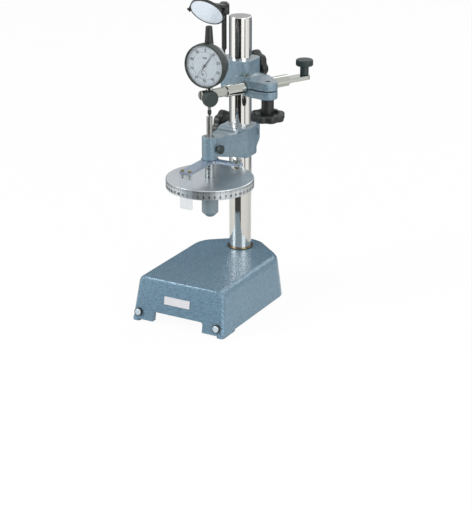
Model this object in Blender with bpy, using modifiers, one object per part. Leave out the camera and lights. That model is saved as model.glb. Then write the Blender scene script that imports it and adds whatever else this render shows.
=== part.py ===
"""Dial indicator tester: a bench stand that lifts a spindle by a large graduated drum under a dial indicator.

All lengths are in metres. The origin lies on the column's axis, at the level of the feet.
+Z points up, and the dial and the base's front face look along -Y.
"""

import bpy
import bmesh
from math import acos, asin, atan2, cos, hypot, pi, radians, sin, sqrt
from mathutils import Matrix, Vector

# Shared clearances and settings
GAP = 0.0003             # play between pieces that seat on each other
CUT = 0.0020             # overrun of every cut past the face it opens
WELD = 0.00001           # points closer than this are one point
BIG_STEPS = 40           # facets round a drum or a bezel
ROUND_STEPS = 28         # facets round a bar or a sleeve
ARC_STEPS = 14           # facets of a large round stretch of an outline
CORNER_STEPS = 4         # facets of a rounded corner of an outline
MID_STEPS = 20           # facets round a knob, a thumb screw or a boss
SMALL_STEPS = 16         # facets round a screw
TINY_STEPS = 12          # facets round a pin

# Base casting
BASE_TOP = 0.0577
BASE_PLATE = 0.0090      # thickness of the top plate
BASE_WALL = 0.0070
BASE_TOP_HALF = 0.0524   # half width of the flat top
BASE_SHOULDER_HALF = 0.0612
BASE_FOOT_HALF = 0.0662
BASE_SHOULDER_DROP = 0.0078
BASE_FRONT_TOP = 0.1519
BASE_FRONT_EDGE = 0.1536
BASE_FRONT_FOOT = 0.1632
BASE_FRONT_DROP = 0.0030
BASE_NOSE_TOP = 0.0270   # radius of the rounded rear, about the column's axis
BASE_NOSE_SHOULDER = 0.0355
BASE_NOSE_FOOT = 0.0400
BASE_SIDE_END_TOP = 0.0060    # where the straight sides end, in front of the column's axis
BASE_SIDE_END_FOOT = 0.0010
BASE_FRONT_ROUND = 0.0060
BASE_SIDE_ROUND = 0.0260
BASE_HOLLOW_END = 0.0040   # where the hollow ends, in front of the column's axis
BOSS_RADIUS = 0.0240
BOSS_FLOOR = 0.0080      # metal left under the column
PAD_HEIGHT = 0.0030
PAD_WIDTH = 0.0102
PAD_LENGTH = 0.0330
PAD_INSET = 0.0008
ARCH_HALF = 0.0355
ARCH_TOP = 0.0158
ARCH_ROUND = 0.0030
PLUG_RADIUS = 0.0047
PLUG_PROUD = 0.0045
PLUG_INSET = 0.0087      # from the foot's side to the plug's axis
PLUG_X = BASE_FOOT_HALF - PLUG_INSET
PLUG_Z = 0.0112
PLUG_SHANK_RADIUS = 0.0025
PLUG_SHANK = 0.0040
PLATE_WIDTH = 0.0362
PLATE_HEIGHT = 0.0102
PLATE_THICKNESS = 0.0006
PLATE_X = -0.0025
PLATE_Z = 0.0335
SET_SCREW_RADIUS = 0.0030
SET_SCREW_LENGTH = 0.0140
SET_SCREW_Z = 0.0300
HEX_KEY_RADIUS = 0.0017
HEX_KEY_DEPTH = 0.0030
COLLAR_RADIUS = 0.0170
COLLAR_HEIGHT = 0.0014

# Drum and column
DRUM_RADIUS = 0.0552
DRUM_RIM = 0.0124
DRUM_RIM_WALL = 0.0060
DRUM_WEB = 0.0042
DRUM_EDGE = 0.0008
HUB_RADIUS = 0.0135
COLUMN_RADIUS = 0.0143
COLUMN_CHAMFER = 0.0010
COLUMN_AIR = 0.0090      # between the column and the drum's rim
REACH = COLUMN_RADIUS + COLUMN_AIR + DRUM_RADIUS    # column axis to the micrometer's axis

# Micrometer head, stacked up from the base
KNOB_RADIUS = 0.0105
KNOB_CLEARANCE = 0.0663  # base to the knob's end
KNOB_LENGTH = 0.0387
KNOB_TAPER = 0.0055
KNOB_TIP_RADIUS = 0.0050
KNOB_END_WALL = 0.0070   # from the knob's end to the bore that runs over the barrel
KNOB_SOCKET = 0.0040
KNOB_FOOT = BASE_TOP + KNOB_CLEARANCE
KNOB_FLOOR = KNOB_FOOT + KNOB_END_WALL
DRUM_FOOT = KNOB_FOOT + KNOB_LENGTH
DRUM_TOP = DRUM_FOOT + DRUM_RIM
BARREL_RADIUS = 0.00575
BARREL_BORE = 0.0041
BARREL_DROP = 0.0122     # below the drum's foot
BARREL_FOOT = DRUM_FOOT - BARREL_DROP
SPINDLE_RADIUS = 0.0037
SPINDLE_CHAMFER = 0.0005

# Index plate under the sleeve
DRUM_AIR = 0.0204        # between the drum and the index plate
INDEX_THICKNESS = 0.0032
INDEX_RING_RADIUS = 0.0112
INDEX_BAR_HALF = 0.0080
INDEX_OVERHANG = 0.0066  # of the bar past the drum's rim
INDEX_LEVER_REACH = 0.0460
INDEX_LEVER_HALF = 0.0042
INDEX_CORNER = 0.0020
INDEX_FOOT = DRUM_TOP + DRUM_AIR
INDEX_TOP = INDEX_FOOT + INDEX_THICKNESS
INDEX_BAR_REACH = DRUM_RADIUS + INDEX_OVERHANG
RETAINER_RADIUS = 0.0078
RETAINER_THICKNESS = 0.0018
WINDOW_THICKNESS = 0.0040
WINDOW_HALF = 0.0079
WINDOW_DROP = 0.0117     # below the drum's foot
WINDOW_STANDOFF = 0.0007  # air between the drum's rim and the window
WINDOW_FOOT = DRUM_FOOT - WINDOW_DROP
WINDOW_SCREW_X = 0.0051
WINDOW_SCREW_RADIUS = 0.0012
WINDOW_SCREW_HEAD = 0.0022
WINDOW_SCREW_HEIGHT = 0.0014
WINDOW_SCREW_DEPTH = 0.0060
SLOT_CUT = 0.0008        # width of a screwdriver slot
LEVER_SCREW_X = 0.0380
LEVER_SCREW_RADIUS = 0.0016
LEVER_SCREW_HEAD = 0.0036
LEVER_SCREW_HEIGHT = 0.0040
LEVER_SCREW_TIP = 0.0012

# Split clamps on the column
UPPER_WALL_CORNER = 0.0090    # rounding of the upper clamp's vertical edges
LOWER_WALL_CORNER = 0.0040    # rounding of the lower clamp's front edges
SLOT_WIDTH = 0.0024
STUD_RADIUS = 0.0030
STUD_RECESS_RADIUS = 0.0052
STUD_RECESS = 0.0020

# Star knobs
STAR_RADIUS = 0.0218
STAR_VALLEY = 0.0024
STAR_SHARPNESS = 2.8     # power that widens the lobes and narrows the valleys
STAR_LOBES = 8
STAR_LOBE_POINTS = 5
STAR_THICKNESS = 0.0095
STAR_EDGE = 0.0016
STAR_DISH_RADIUS = 0.0150
STAR_DISH = 0.0040
STAR_NECK_RADIUS = 0.0078
STAR_NECK = 0.0180
STAR_SOCKET = 0.0150

# Lower bracket, which sits on the index plate's level
BOSS_STEP = 0.0006       # machined faces stand this proud of the cast ones
LOWER_DROP = 0.0132      # of the clamp below the sleeve
LOWER_RISE = 0.0245      # of the clamp above the sleeve's foot
LOWER_HALF = 0.0208
ARM_FOOT = INDEX_TOP + GAP
LOWER_FOOT = ARM_FOOT - LOWER_DROP
LOWER_TOP = ARM_FOOT + LOWER_RISE
LOWER_STUD_Y = 0.0198
LOWER_STUD_DROP = 0.0138      # below the clamp's top
LOWER_EAR_END = 0.0268
LOWER_EAR_FOOT_END = 0.0140   # where the ears' slanted rear starts at their foot
LOWER_EAR_SLANT = 0.0130      # height of that slanted rear
LOWER_EAR_HALF = 0.0138
LOWER_EAR_ROUND = 0.0060
ARM_SHOULDER = 0.0085    # length of the arm's wide root, which carries the clamp's top on
ARM_SHOULDER_HALF = 0.0176
ARM_SHOULDER_SLOPE = 0.0022   # length of the bevel that ends it
ARM_SADDLE_DROP = 0.0024      # of the arm's top below the clamp's, at that bevel
ARM_CREST = 0.0225       # length of the arm's level top, behind the micrometer's axis
ARM_CREST_RISE = 0.0012       # of the level top above the clamp's
ARM_FRONT_HALF = 0.0085
ARM_WEB_SET_BACK = 0.0036     # of the arm's sides at their foot
ARM_KNEE_SHARE = 0.43    # of the arm's depth below which its sides are set back
ARM_EDGE = 0.0010
SLEEVE_RADIUS = 0.0098
SLEEVE_PROUD = 0.0040    # of the sleeve above the clamp
SLEEVE_TOP = LOWER_TOP + SLEEVE_PROUD
BARREL_PROUD = 0.0010
BARREL_TOP = SLEEVE_TOP + BARREL_PROUD
SPINDLE_PROUD = 0.0248
SPINDLE_TOP = BARREL_TOP + SPINDLE_PROUD
LOCK_HEAD_RADIUS = 0.0055
LOCK_HEAD = 0.0062
LOCK_NECK_RADIUS = 0.0024
LOCK_NECK = 0.0024
LOCK_RISE = 0.0140       # above the sleeve's foot
LOCK_Z = ARM_FOOT + LOCK_RISE
LOCK_SHANK_RADIUS = 0.0020

# Contact point, stem and holder rod, stacked up from the spindle
CONTACT_RADIUS = 0.0025
CONTACT_TIP_RADIUS = 0.0010
CONTACT_LENGTH = 0.0079
CONTACT_TOP = SPINDLE_TOP + CONTACT_LENGTH
PLUNGER_RADIUS = 0.0020
PLUNGER_BARE = 0.0048    # between the contact point and the stem
STEM_RADIUS = 0.0040
STEM_FOOT = CONTACT_TOP + PLUNGER_BARE
STEM_BELOW_ROD = 0.0153
ROD_Z = STEM_FOOT + STEM_BELOW_ROD
ROD_OFFSET = 0.0348      # column axis to the rod's axis
ROD_RADIUS = 0.0075
ROD_FRONT_RADIUS = 0.0060
ROD_FRONT_END = 0.0130   # from the stem's axis to the split end
ROD_STEP = 0.0230        # from the stem's axis to the thick part
ROD_TONGUE_START = 0.1173
TONGUE_SCREW = 0.1449    # from the stem's axis to the screw on the tongue
TONGUE_LAND = 0.0066     # from the screw to the rod's rear end
ROD_END = TONGUE_SCREW + TONGUE_LAND
ROD_CHAMFER = 0.0008
ROD_SLIT = 0.0014
TONGUE_HALF = 0.0026

# Upper bracket
UPPER_DROP = 0.0113      # below the rod's axis
UPPER_RISE = 0.0287      # above the rod's axis
UPPER_FOOT = ROD_Z - UPPER_DROP
UPPER_TOP = ROD_Z + UPPER_RISE
UPPER_HALF = 0.0205
UPPER_ARM_HALF_HEIGHT = 0.0106
UPPER_ARM_HALF_WIDTH = 0.0178
ARM_STRAIGHT_END = 0.0430
LUG_X = 0.0590
LUG_RADIUS = 0.0122
BORE_WALL = 0.0036
CLAMP_SLIT = 0.0016
UPPER_EAR_X = 0.0220
UPPER_STUD_RISE = 0.0067      # above the rod's axis
UPPER_STUD_Z = ROD_Z + UPPER_STUD_RISE
UPPER_EAR_END = 0.0312
UPPER_EAR_LIFT = 0.0040       # of the ears above the clamp's foot
UPPER_EAR_HALF = 0.0170
UPPER_EAR_ROUND = 0.0070
GUIDE_SCREW_X = 0.0268
GUIDE_SCREW_Y = 0.0100
GUIDE_SCREW_RADIUS = 0.0050
GUIDE_SCREW_HEIGHT = 0.0012
GUIDE_SHANK_RADIUS = 0.0022
GUIDE_SHANK = 0.0036
GUIDE_BOSS_RADIUS = 0.0080
GUIDE_BOSS_RISE = 0.0122      # above the rod's axis
GUIDE_BOSS_TOP = ROD_Z + GUIDE_BOSS_RISE
COLUMN_PROUD = 0.0532         # of the column above the upper clamp
COLUMN_TOP = UPPER_TOP + COLUMN_PROUD

# Thumb screws
THUMB_SHANK_RADIUS = 0.0020
STEM_THUMB_ALONG = 0.0085     # from the stem's axis towards the split end
STEM_THUMB_DROP = 0.0010      # below the rod's axis, clear of the bezel
STEM_THUMB_RADIUS = 0.0100
STEM_THUMB_HEAD = 0.0082
STEM_THUMB_NECK_RADIUS = 0.0045
STEM_THUMB_NECK = 0.0042
TONGUE_THUMB_RADIUS = 0.0110
TONGUE_THUMB_HEAD = 0.0080
TONGUE_THUMB_NECK_RADIUS = 0.0055
TONGUE_THUMB_NECK = 0.0118
TONGUE_SHANK_RADIUS = 0.0028
TONGUE_SHANK_TIP = 0.0004
THUMB_EDGE = 0.0008

# Dial indicator
DIAL_RISE = 0.0378       # rod's axis to the dial's centre
DIAL_Z = ROD_Z + DIAL_RISE
CASE_RADIUS = 0.0232
CASE_BACK = 0.0075       # stem axis to the case's rear face
CASE_SHOULDER = 0.0030   # stem axis to the flange that carries the bezel
CASE_FLANGE_RADIUS = 0.0262
CASE_SEAT = 0.0094       # stem axis to the seat of the dial
CASE_RECESS_RADIUS = 0.0256
COVER_RADIUS = 0.0215
COVER_THICKNESS = 0.0018
CASE_BOSS_RADIUS = 0.0057
CASE_BOSS_DROP = 0.0276
CASE_BOSS_RISE = 0.0271
CASE_BOSS_FOOT = DIAL_Z - CASE_BOSS_DROP
CASE_BOSS_TOP = DIAL_Z + CASE_BOSS_RISE
BEZEL_RADIUS = 0.0274
BEZEL_LIP_RADIUS = 0.0254
BEZEL_LIP = 0.0007       # thickness of the rim over the crystal
BEZEL_BACK = 0.0035
BEZEL_EDGE = 0.0005
CRYSTAL_THICKNESS = 0.0009
RING_OUTER = CASE_RECESS_RADIUS - GAP
RING_INNER = 0.0172
DIAL_THICKNESS = 0.0006
DIAL_FOOT = CASE_SEAT + GAP
DIAL_TOP = DIAL_FOOT + DIAL_THICKNESS
POINTER_HUB_RADIUS = 0.0018
POINTER_LENGTH = 0.0200
POINTER_TAIL = 0.0055
POINTER_ROOT = 0.0006    # half width at the hub
POINTER_TIP = 0.0002
POINTER_THICKNESS = 0.0003
HUB_PROUD = 0.0002       # of a hub above its blade
POINTER_LIFT = 0.0009    # above the dial
POINTER_TURN = radians(35.5)
ARBOR_RADIUS = 0.0007
ARBOR_DEPTH = 0.0020
COUNTER_X = -0.0035
COUNTER_Y = -0.0110
COUNTER_LENGTH = 0.0046
COUNTER_TAIL = 0.0015
COUNTER_HUB_RADIUS = 0.0009
COUNTER_LIFT = 0.0002
COUNTER_TURN = radians(-20)
CRYSTAL_FOOT = DIAL_TOP + POINTER_LIFT + POINTER_THICKNESS + HUB_PROUD + GAP
BEZEL_SHELF = CRYSTAL_FOOT + CRYSTAL_THICKNESS + GAP
BEZEL_FRONT = BEZEL_SHELF + BEZEL_LIP
CASE_FRONT = CRYSTAL_FOOT - GAP
PLUNGER_PROUD = 0.0013   # of the plunger above the case's upper boss
PLUNGER_TOP = CASE_BOSS_TOP + PLUNGER_PROUD
CAP_HEIGHT = 0.0196
CAP_TOP = CASE_BOSS_TOP + GAP + CAP_HEIGHT
CAP_FOOT_RADIUS = 0.0053
CAP_TOP_RADIUS = 0.0041
CAP_CEILING = 0.0030

# Mirror
POST_ALONG = 0.0096      # from the ears' middle plane to the post
POST_RADIUS = 0.0032
POST_FOOT_AIR = 0.0060   # of bare spigot above the clamp
POST_FOOT = UPPER_TOP + POST_FOOT_AIR
POST_CONE = 0.0024
POST_SPIGOT_RADIUS = 0.0015
POST_SPIGOT = 0.0080
POST_PROUD = 0.0064      # of the post above the indicator's cap
POST_TOP = CAP_TOP + POST_PROUD
HEAD_RADIUS = 0.0068
HEAD_DEPTH = 0.0100      # of the head below the post's top
HEAD_COVER = 0.0050      # of the head above the post's top
HEAD_ROUND = 0.0026
HEAD_FOOT = POST_TOP - HEAD_DEPTH
HEAD_TOP = POST_TOP + HEAD_COVER
MIRROR_AHEAD = 0.0041    # of the micrometer's axis
MIRROR_RISE = 0.0186     # above the indicator's cap
MIRROR_Y = -REACH - MIRROR_AHEAD
MIRROR_Z = CAP_TOP + MIRROR_RISE
MIRROR_TILT = radians(38.5)   # face turned down from facing the front
CELL_RADIUS = 0.0219
CELL_DEPTH = 0.0035
CELL_RECESS = 0.0022
GLASS_RADIUS = 0.0206
CELL_BOSS_RADIUS = 0.0018
CELL_BOSS = 0.0010
FORK_WIDTH = 0.0044
FORK_ARM = 0.0018
FORK_BACK = 0.0067       # pivot to the crossbar's near side
FORK_BAR = 0.0036
ARM_BAR_RADIUS = 0.0041
PIVOT_RADIUS = 0.0008
PIVOT_HEAD_RADIUS = 0.0017
PIVOT_HEAD = 0.0020
PIVOT_CROWN_SHARE = 0.7  # of the pivot head's radius at its outer face
PIVOT_SEAT_SHARE = 0.8   # of the pivot head's radius at the fork

# Places worked out from the sizes above
TURN = asin(ROD_OFFSET / REACH)                    # the upper bracket's swing round the column
STEM_ALONG = sqrt(REACH ** 2 - ROD_OFFSET ** 2)    # from the bracket's middle to the stem, along the rod
LOWER_STUD_Z = LOWER_TOP - LOWER_STUD_DROP


def collection(name):
    """A collection of its own for the parts or for the cutters."""
    group = bpy.data.collections.new(name)
    bpy.context.scene.collection.children.link(group)
    return group


def material(name, colour, roughness, metallic=0.0, alpha=1.0):
    """A Principled material with the finish of one kind of part."""
    paint = bpy.data.materials.new(name)
    paint.use_nodes = True
    shader = paint.node_tree.nodes["Principled BSDF"]
    shader.inputs["Base Color"].default_value = (*colour, 1.0)
    shader.inputs["Roughness"].default_value = roughness
    shader.inputs["Metallic"].default_value = metallic
    shader.inputs["Alpha"].default_value = alpha
    return paint


for old in list(bpy.data.objects):
    bpy.data.objects.remove(old, do_unlink=True)

PARTS = collection("dial_indicator_tester")
CUTTERS = collection("cutters")

HAMMER = material("hammer_finish", (0.17, 0.27, 0.34), 0.45, 0.3)
CHROME = material("chrome", (0.80, 0.79, 0.76), 0.08, 1.0)
STEEL = material("steel", (0.55, 0.55, 0.54), 0.3, 1.0)
SATIN = material("satin_drum", (0.62, 0.66, 0.68), 0.38, 0.8)
BLACK = material("black_plastic", (0.025, 0.03, 0.032), 0.5)
BLACKENED = material("blackened_metal", (0.03, 0.035, 0.035), 0.4, 0.6)
BRASS = material("brass", (0.62, 0.48, 0.22), 0.35, 1.0)
PLATE = material("bare_plate", (0.82, 0.82, 0.84), 0.35, 0.4)
CLEAR = material("clear_plastic", (0.85, 0.88, 0.92), 0.05, 0.0, 0.3)
GLASS = material("crystal", (0.9, 0.93, 0.95), 0.03, 0.0, 0.15)
DIAL = material("dial_white", (0.80, 0.82, 0.86), 0.6)
SILVERED = material("mirror_glass", (0.85, 0.88, 0.92), 0.02, 1.0)
CASE = material("case_metal", (0.45, 0.46, 0.47), 0.35, 0.8)


def add(name, mesh, paint, parent=None, location=(0, 0, 0), rotation=(0, 0, 0)):
    """Link a mesh as a named part, or as a cutter where no paint is given."""
    part = bpy.data.objects.new(name, mesh)
    part.location = location
    part.rotation_euler = rotation
    part.parent = parent
    if paint is None:
        CUTTERS.objects.link(part)
        part.hide_render = True
        part.display_type = "WIRE"
    else:
        PARTS.objects.link(part)
        mesh.materials.append(paint)
    return part


def frame(name, location, parent=None, rotation=(0, 0, 0)):
    """An empty on a joint's axis, which carries the pieces that move with it."""
    empty = bpy.data.objects.new(name, None)
    empty.location = location
    empty.rotation_euler = rotation
    empty.parent = parent
    PARTS.objects.link(empty)
    return empty


def turned(name, profile, paint, steps=ROUND_STEPS, ring=False, **place):
    """Turn (radius, height) points about local Z. The outer side runs from top to bottom."""
    mesh = bpy.data.meshes.new(name)
    edges = [(index, index + 1) for index in range(len(profile) - 1)]
    if ring:
        edges.append((len(profile) - 1, 0))
    mesh.from_pydata([(radius, 0, height) for radius, height in profile], edges, [])
    part = add(name, mesh, paint, **place)
    screw = part.modifiers.new("Turn", "SCREW")
    screw.axis = "Z"
    screw.angle = 2 * pi
    screw.steps = steps
    screw.render_steps = steps
    screw.use_merge_vertices = True
    screw.merge_threshold = WELD
    screw.use_smooth_shade = True
    return part


def bar(name, radius, foot, top, paint, steps=ROUND_STEPS, chamfer=0.0, **place):
    """A plain round bar along local Z, with both ends chamfered alike if asked."""
    if chamfer > 0:
        return turned(name, [
            (0, top), (radius - chamfer, top), (radius, top - chamfer), (radius, foot + chamfer),
            (radius - chamfer, foot), (0, foot),
        ], paint, steps, **place)
    mesh = bpy.data.meshes.new(name)
    rod = bmesh.new()
    bmesh.ops.create_cone(rod, cap_ends=True, segments=steps, radius1=radius, radius2=radius, depth=top - foot)
    bmesh.ops.translate(rod, vec=(0, 0, (top + foot) / 2), verts=rod.verts)
    for face in rod.faces:
        face.smooth = len(face.verts) == 4
    rod.to_mesh(mesh)
    rod.free()
    return add(name, mesh, paint, **place)


def box(name, low, high, paint, **place):
    """A plain block between two opposite corners."""
    mesh = bpy.data.meshes.new(name)
    block = bmesh.new()
    bmesh.ops.create_cube(block, size=1)
    size = [top - foot for foot, top in zip(low, high)]
    middle = [(top + foot) / 2 for foot, top in zip(low, high)]
    bmesh.ops.scale(block, vec=size, verts=block.verts)
    bmesh.ops.translate(block, vec=middle, verts=block.verts)
    block.to_mesh(mesh)
    block.free()
    return add(name, mesh, paint, **place)


def prism(name, outline, foot, top, paint, edge=0.0, **place):
    """Extrude a flat outline along local Z from foot to top, with rounded edges if asked."""
    curve = bpy.data.curves.new(name, "CURVE")
    curve.dimensions = "2D"
    curve.fill_mode = "BOTH"
    curve.extrude = (top - foot) / 2 - edge
    curve.bevel_depth = edge
    curve.bevel_resolution = 1
    curve.offset = -edge
    spline = curve.splines.new("POLY")
    spline.points.add(len(outline) - 1)
    for point, (across, along) in zip(spline.points, outline):
        point.co = (across, along, 0, 1)
    spline.use_cyclic_u = True
    guide = bpy.data.objects.new(name + "_outline", curve)
    CUTTERS.objects.link(guide)
    bpy.context.view_layer.update()
    mesh = bpy.data.meshes.new_from_object(guide.evaluated_get(bpy.context.evaluated_depsgraph_get()))
    mesh.name = name
    bpy.data.objects.remove(guide)
    solid = bmesh.new()
    solid.from_mesh(mesh)
    bmesh.ops.remove_doubles(solid, verts=solid.verts, dist=WELD)
    bmesh.ops.translate(solid, vec=(0, 0, (top + foot) / 2), verts=solid.verts)
    bmesh.ops.recalc_face_normals(solid, faces=solid.faces)
    solid.to_mesh(mesh)
    solid.free()
    mesh.materials.clear()
    return add(name, mesh, paint, **place)


def boolean(target, tool, operation):
    """Cut or join the target with a tool that stays in the cutters' collection."""
    change = target.modifiers.new(tool.name, "BOOLEAN")
    change.operation = operation
    change.solver = "EXACT"
    change.object = tool
    return target


def cut(target, tool):
    return boolean(target, tool, "DIFFERENCE")


def join(target, tool):
    return boolean(target, tool, "UNION")


def fillet(corners, radii, steps=CORNER_STEPS):
    """Round the corners of a closed outline, each with its own radius; zero leaves a corner sharp."""
    outline = []
    count = len(corners)
    for index, (corner, radius) in enumerate(zip(corners, radii)):
        point = Vector(corner)
        before = (Vector(corners[index - 1]) - point).normalized()
        after = (Vector(corners[(index + 1) % count]) - point).normalized()
        if radius == 0:
            outline.append(tuple(point))
            continue
        half = before.angle(after) / 2
        centre = point + (before + after).normalized() * (radius / sin(half))
        start = point + before * (radius * cos(half) / sin(half)) - centre
        end = point + after * (radius * cos(half) / sin(half)) - centre
        first = atan2(start.y, start.x)
        swing = (atan2(end.y, end.x) - first + pi) % (2 * pi) - pi
        for step in range(steps + 1):
            angle = first + swing * step / steps
            outline.append((centre.x + radius * cos(angle), centre.y + radius * sin(angle)))
    return outline


def arc(centre, radius, first, last, steps=ARC_STEPS):
    """Points of a round stretch, ends included."""
    return [
        (centre[0] + radius * cos(first + (last - first) * step / steps),
         centre[1] + radius * sin(first + (last - first) * step / steps))
        for step in range(steps + 1)
    ]


def rounded_square(half, corner, turn=0.0):
    """Outline of a square with rounded corners, turned about its middle."""
    outline = fillet([(-half, -half), (half, -half), (half, half), (-half, half)], [corner] * 4)
    spin = Matrix.Rotation(turn, 2)
    return [tuple(spin @ Vector(point)) for point in outline]


LAID_ON_YZ = (pi / 2, 0, pi / 2)    # outline (across, up) becomes (Y, Z); thickness runs along X
LAID_ON_XZ = (pi / 2, 0, 0)         # outline (across, up) becomes (X, Z); thickness runs along -Y
FACING_X = (0, pi / 2, 0)           # local Z looks along +X
FACING_BACK_X = (0, -pi / 2, 0)     # local Z looks along -X
FACING_Y = (-pi / 2, 0, 0)          # local Z looks along +Y
FACING_FRONT = (pi / 2, 0, 0)       # local Z looks along -Y, local Y up
FACING_DOWN = (pi, 0, 0)            # local Z looks down


def base_outline(level, inset=0.0):
    """Plan of the base's skirt at one level: straight front and sides, and a rear rounded on the column."""
    shoulder = BASE_TOP - BASE_SHOULDER_DROP
    edge = BASE_TOP - BASE_FRONT_DROP
    if level <= shoulder:
        rise = level / shoulder
        half = BASE_FOOT_HALF + (BASE_SHOULDER_HALF - BASE_FOOT_HALF) * rise
        nose = BASE_NOSE_FOOT + (BASE_NOSE_SHOULDER - BASE_NOSE_FOOT) * rise
    else:
        crown = sqrt(max(0, 1 - ((level - shoulder) / BASE_SHOULDER_DROP) ** 2))
        half = BASE_TOP_HALF + (BASE_SHOULDER_HALF - BASE_TOP_HALF) * crown
        nose = BASE_NOSE_TOP + (BASE_NOSE_SHOULDER - BASE_NOSE_TOP) * crown
    if level <= edge:
        front = BASE_FRONT_FOOT + (BASE_FRONT_EDGE - BASE_FRONT_FOOT) * level / edge
    else:
        crown = sqrt(max(0, 1 - ((level - edge) / BASE_FRONT_DROP) ** 2))
        front = BASE_FRONT_TOP + (BASE_FRONT_EDGE - BASE_FRONT_TOP) * crown
    side_end = BASE_SIDE_END_FOOT + (BASE_SIDE_END_TOP - BASE_SIDE_END_FOOT) * level / BASE_TOP
    half -= inset
    nose -= inset
    front -= inset
    touch = atan2(-side_end, half) + acos(nose / hypot(side_end, half))
    rear = arc((0, 0), nose, touch, pi - touch)
    corners = [(-half, -front), (half, -front), (half, -side_end), *rear, (-half, -side_end)]
    front_round = max(BASE_FRONT_ROUND - inset, BASE_FRONT_ROUND / 2)
    side_round = max(BASE_SIDE_ROUND - inset, BASE_SIDE_ROUND / 2)
    radii = [front_round, front_round, side_round, *[0] * len(rear), side_round]
    return fillet(corners, radii)


def hollow_outline(level):
    """Plan of the hollow at one level: a wall's thickness inside the skirt, and square across at its rear."""
    skirt = base_outline(level, BASE_WALL)
    half = max(x for x, y in skirt)
    front = max(-y for x, y in skirt)
    corners = [(-half, -front), (half, -front), (half, -BASE_HOLLOW_END), (-half, -BASE_HOLLOW_END)]
    return fillet(corners, [BASE_FRONT_ROUND, BASE_FRONT_ROUND, BASE_WALL, BASE_WALL])


def loft(name, rows, paint, **place):
    """Skin a stack of closed outlines with equal counts of 3-D points, and close both ends."""
    mesh = bpy.data.meshes.new(name)
    skin = bmesh.new()
    rings = [[skin.verts.new(point) for point in row] for row in rows]
    for lower, upper in zip(rings, rings[1:]):
        for index in range(len(lower)):
            after = (index + 1) % len(lower)
            skin.faces.new((lower[index], lower[after], upper[after], upper[index]))
    skin.faces.new(reversed(rings[0]))
    skin.faces.new(rings[-1])
    bmesh.ops.recalc_face_normals(skin, faces=skin.faces)
    skin.to_mesh(mesh)
    skin.free()
    return add(name, mesh, paint, **place)


def between(along, line):
    """Height of a broken line of (along, height) points at one place."""
    for (start, low), (end, high) in zip(line, line[1:]):
        if along <= end:
            return low + (high - low) * (along - start) / (end - start)
    return line[-1][1]


def at_level(outline, level):
    """Lift a flat outline to one height."""
    return [(x, y, level) for x, y in outline]


def front_face(level):
    """Distance of the base's sloped front face from the column's axis."""
    edge = BASE_TOP - BASE_FRONT_DROP
    return BASE_FRONT_FOOT + (BASE_FRONT_EDGE - BASE_FRONT_FOOT) * level / edge


FRONT_LEAN = atan2(BASE_FRONT_FOOT - BASE_FRONT_EDGE, BASE_TOP - BASE_FRONT_DROP)


def make_base():
    """The casting: flared skirt, hollow underside, arch between the front legs, pads and column boss."""
    shoulder = BASE_TOP - BASE_SHOULDER_DROP
    crown_angles = [radians(degree) for degree in (30, 55, 75, 90)]
    levels = [PAD_HEIGHT, shoulder, *[shoulder + BASE_SHOULDER_DROP * sin(angle) for angle in crown_angles]]
    base = loft("base", [at_level(base_outline(level), level) for level in levels], HAMMER)
    ceiling = BASE_TOP - BASE_PLATE
    hollow_levels = (PAD_HEIGHT - CUT, ceiling)
    inner_rows = [at_level(hollow_outline(level), level) for level in hollow_levels]
    cut(base, loft("base_hollow", inner_rows, None))
    join(base, bar("column_boss", BOSS_RADIUS, 0, ceiling + CUT, None))
    for side in (-1, 1):
        outer = BASE_FOOT_HALF - PAD_INSET
        xs = sorted((side * outer, side * (outer - PAD_WIDTH)))
        front = -front_face(0) + PAD_INSET
        pad = fillet(
            [(xs[0], front), (xs[1], front), (xs[1], front + PAD_LENGTH), (xs[0], front + PAD_LENGTH)],
            [PAD_HEIGHT] * 4, 2)
        name = "pad_left" if side < 0 else "pad_right"
        join(base, prism(name, pad, 0, PAD_HEIGHT + CUT / 2, None))
    arch = fillet(
        [(-ARCH_HALF, -CUT), (ARCH_HALF, -CUT), (ARCH_HALF, ARCH_TOP), (-ARCH_HALF, ARCH_TOP)],
        [0, 0, ARCH_ROUND, ARCH_ROUND], 3)
    depth = BASE_FRONT_FOOT + CUT
    inner = BASE_FRONT_EDGE - 2 * BASE_WALL
    cut(base, prism("front_arch", arch, inner, depth, None, rotation=LAID_ON_XZ))
    cut(base, bar("column_seat", COLUMN_RADIUS + GAP, BOSS_FLOOR, BASE_TOP + CUT, None))
    cut(base, bar("set_screw_hole", SET_SCREW_RADIUS + GAP, COLUMN_RADIUS, BASE_NOSE_FOOT + CUT, None,
                  SMALL_STEPS, location=(0, 0, SET_SCREW_Z), rotation=FACING_Y))
    for side in (-1, 1):
        place = dict(location=(side * PLUG_X, -front_face(PLUG_Z), PLUG_Z), rotation=(pi / 2 - FRONT_LEAN, 0, 0))
        name = "plug_hole_left" if side < 0 else "plug_hole_right"
        cut(base, bar(name, PLUG_SHANK_RADIUS + GAP, -PLUG_SHANK - GAP, CUT, None, SMALL_STEPS, **place))
    return base


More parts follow.
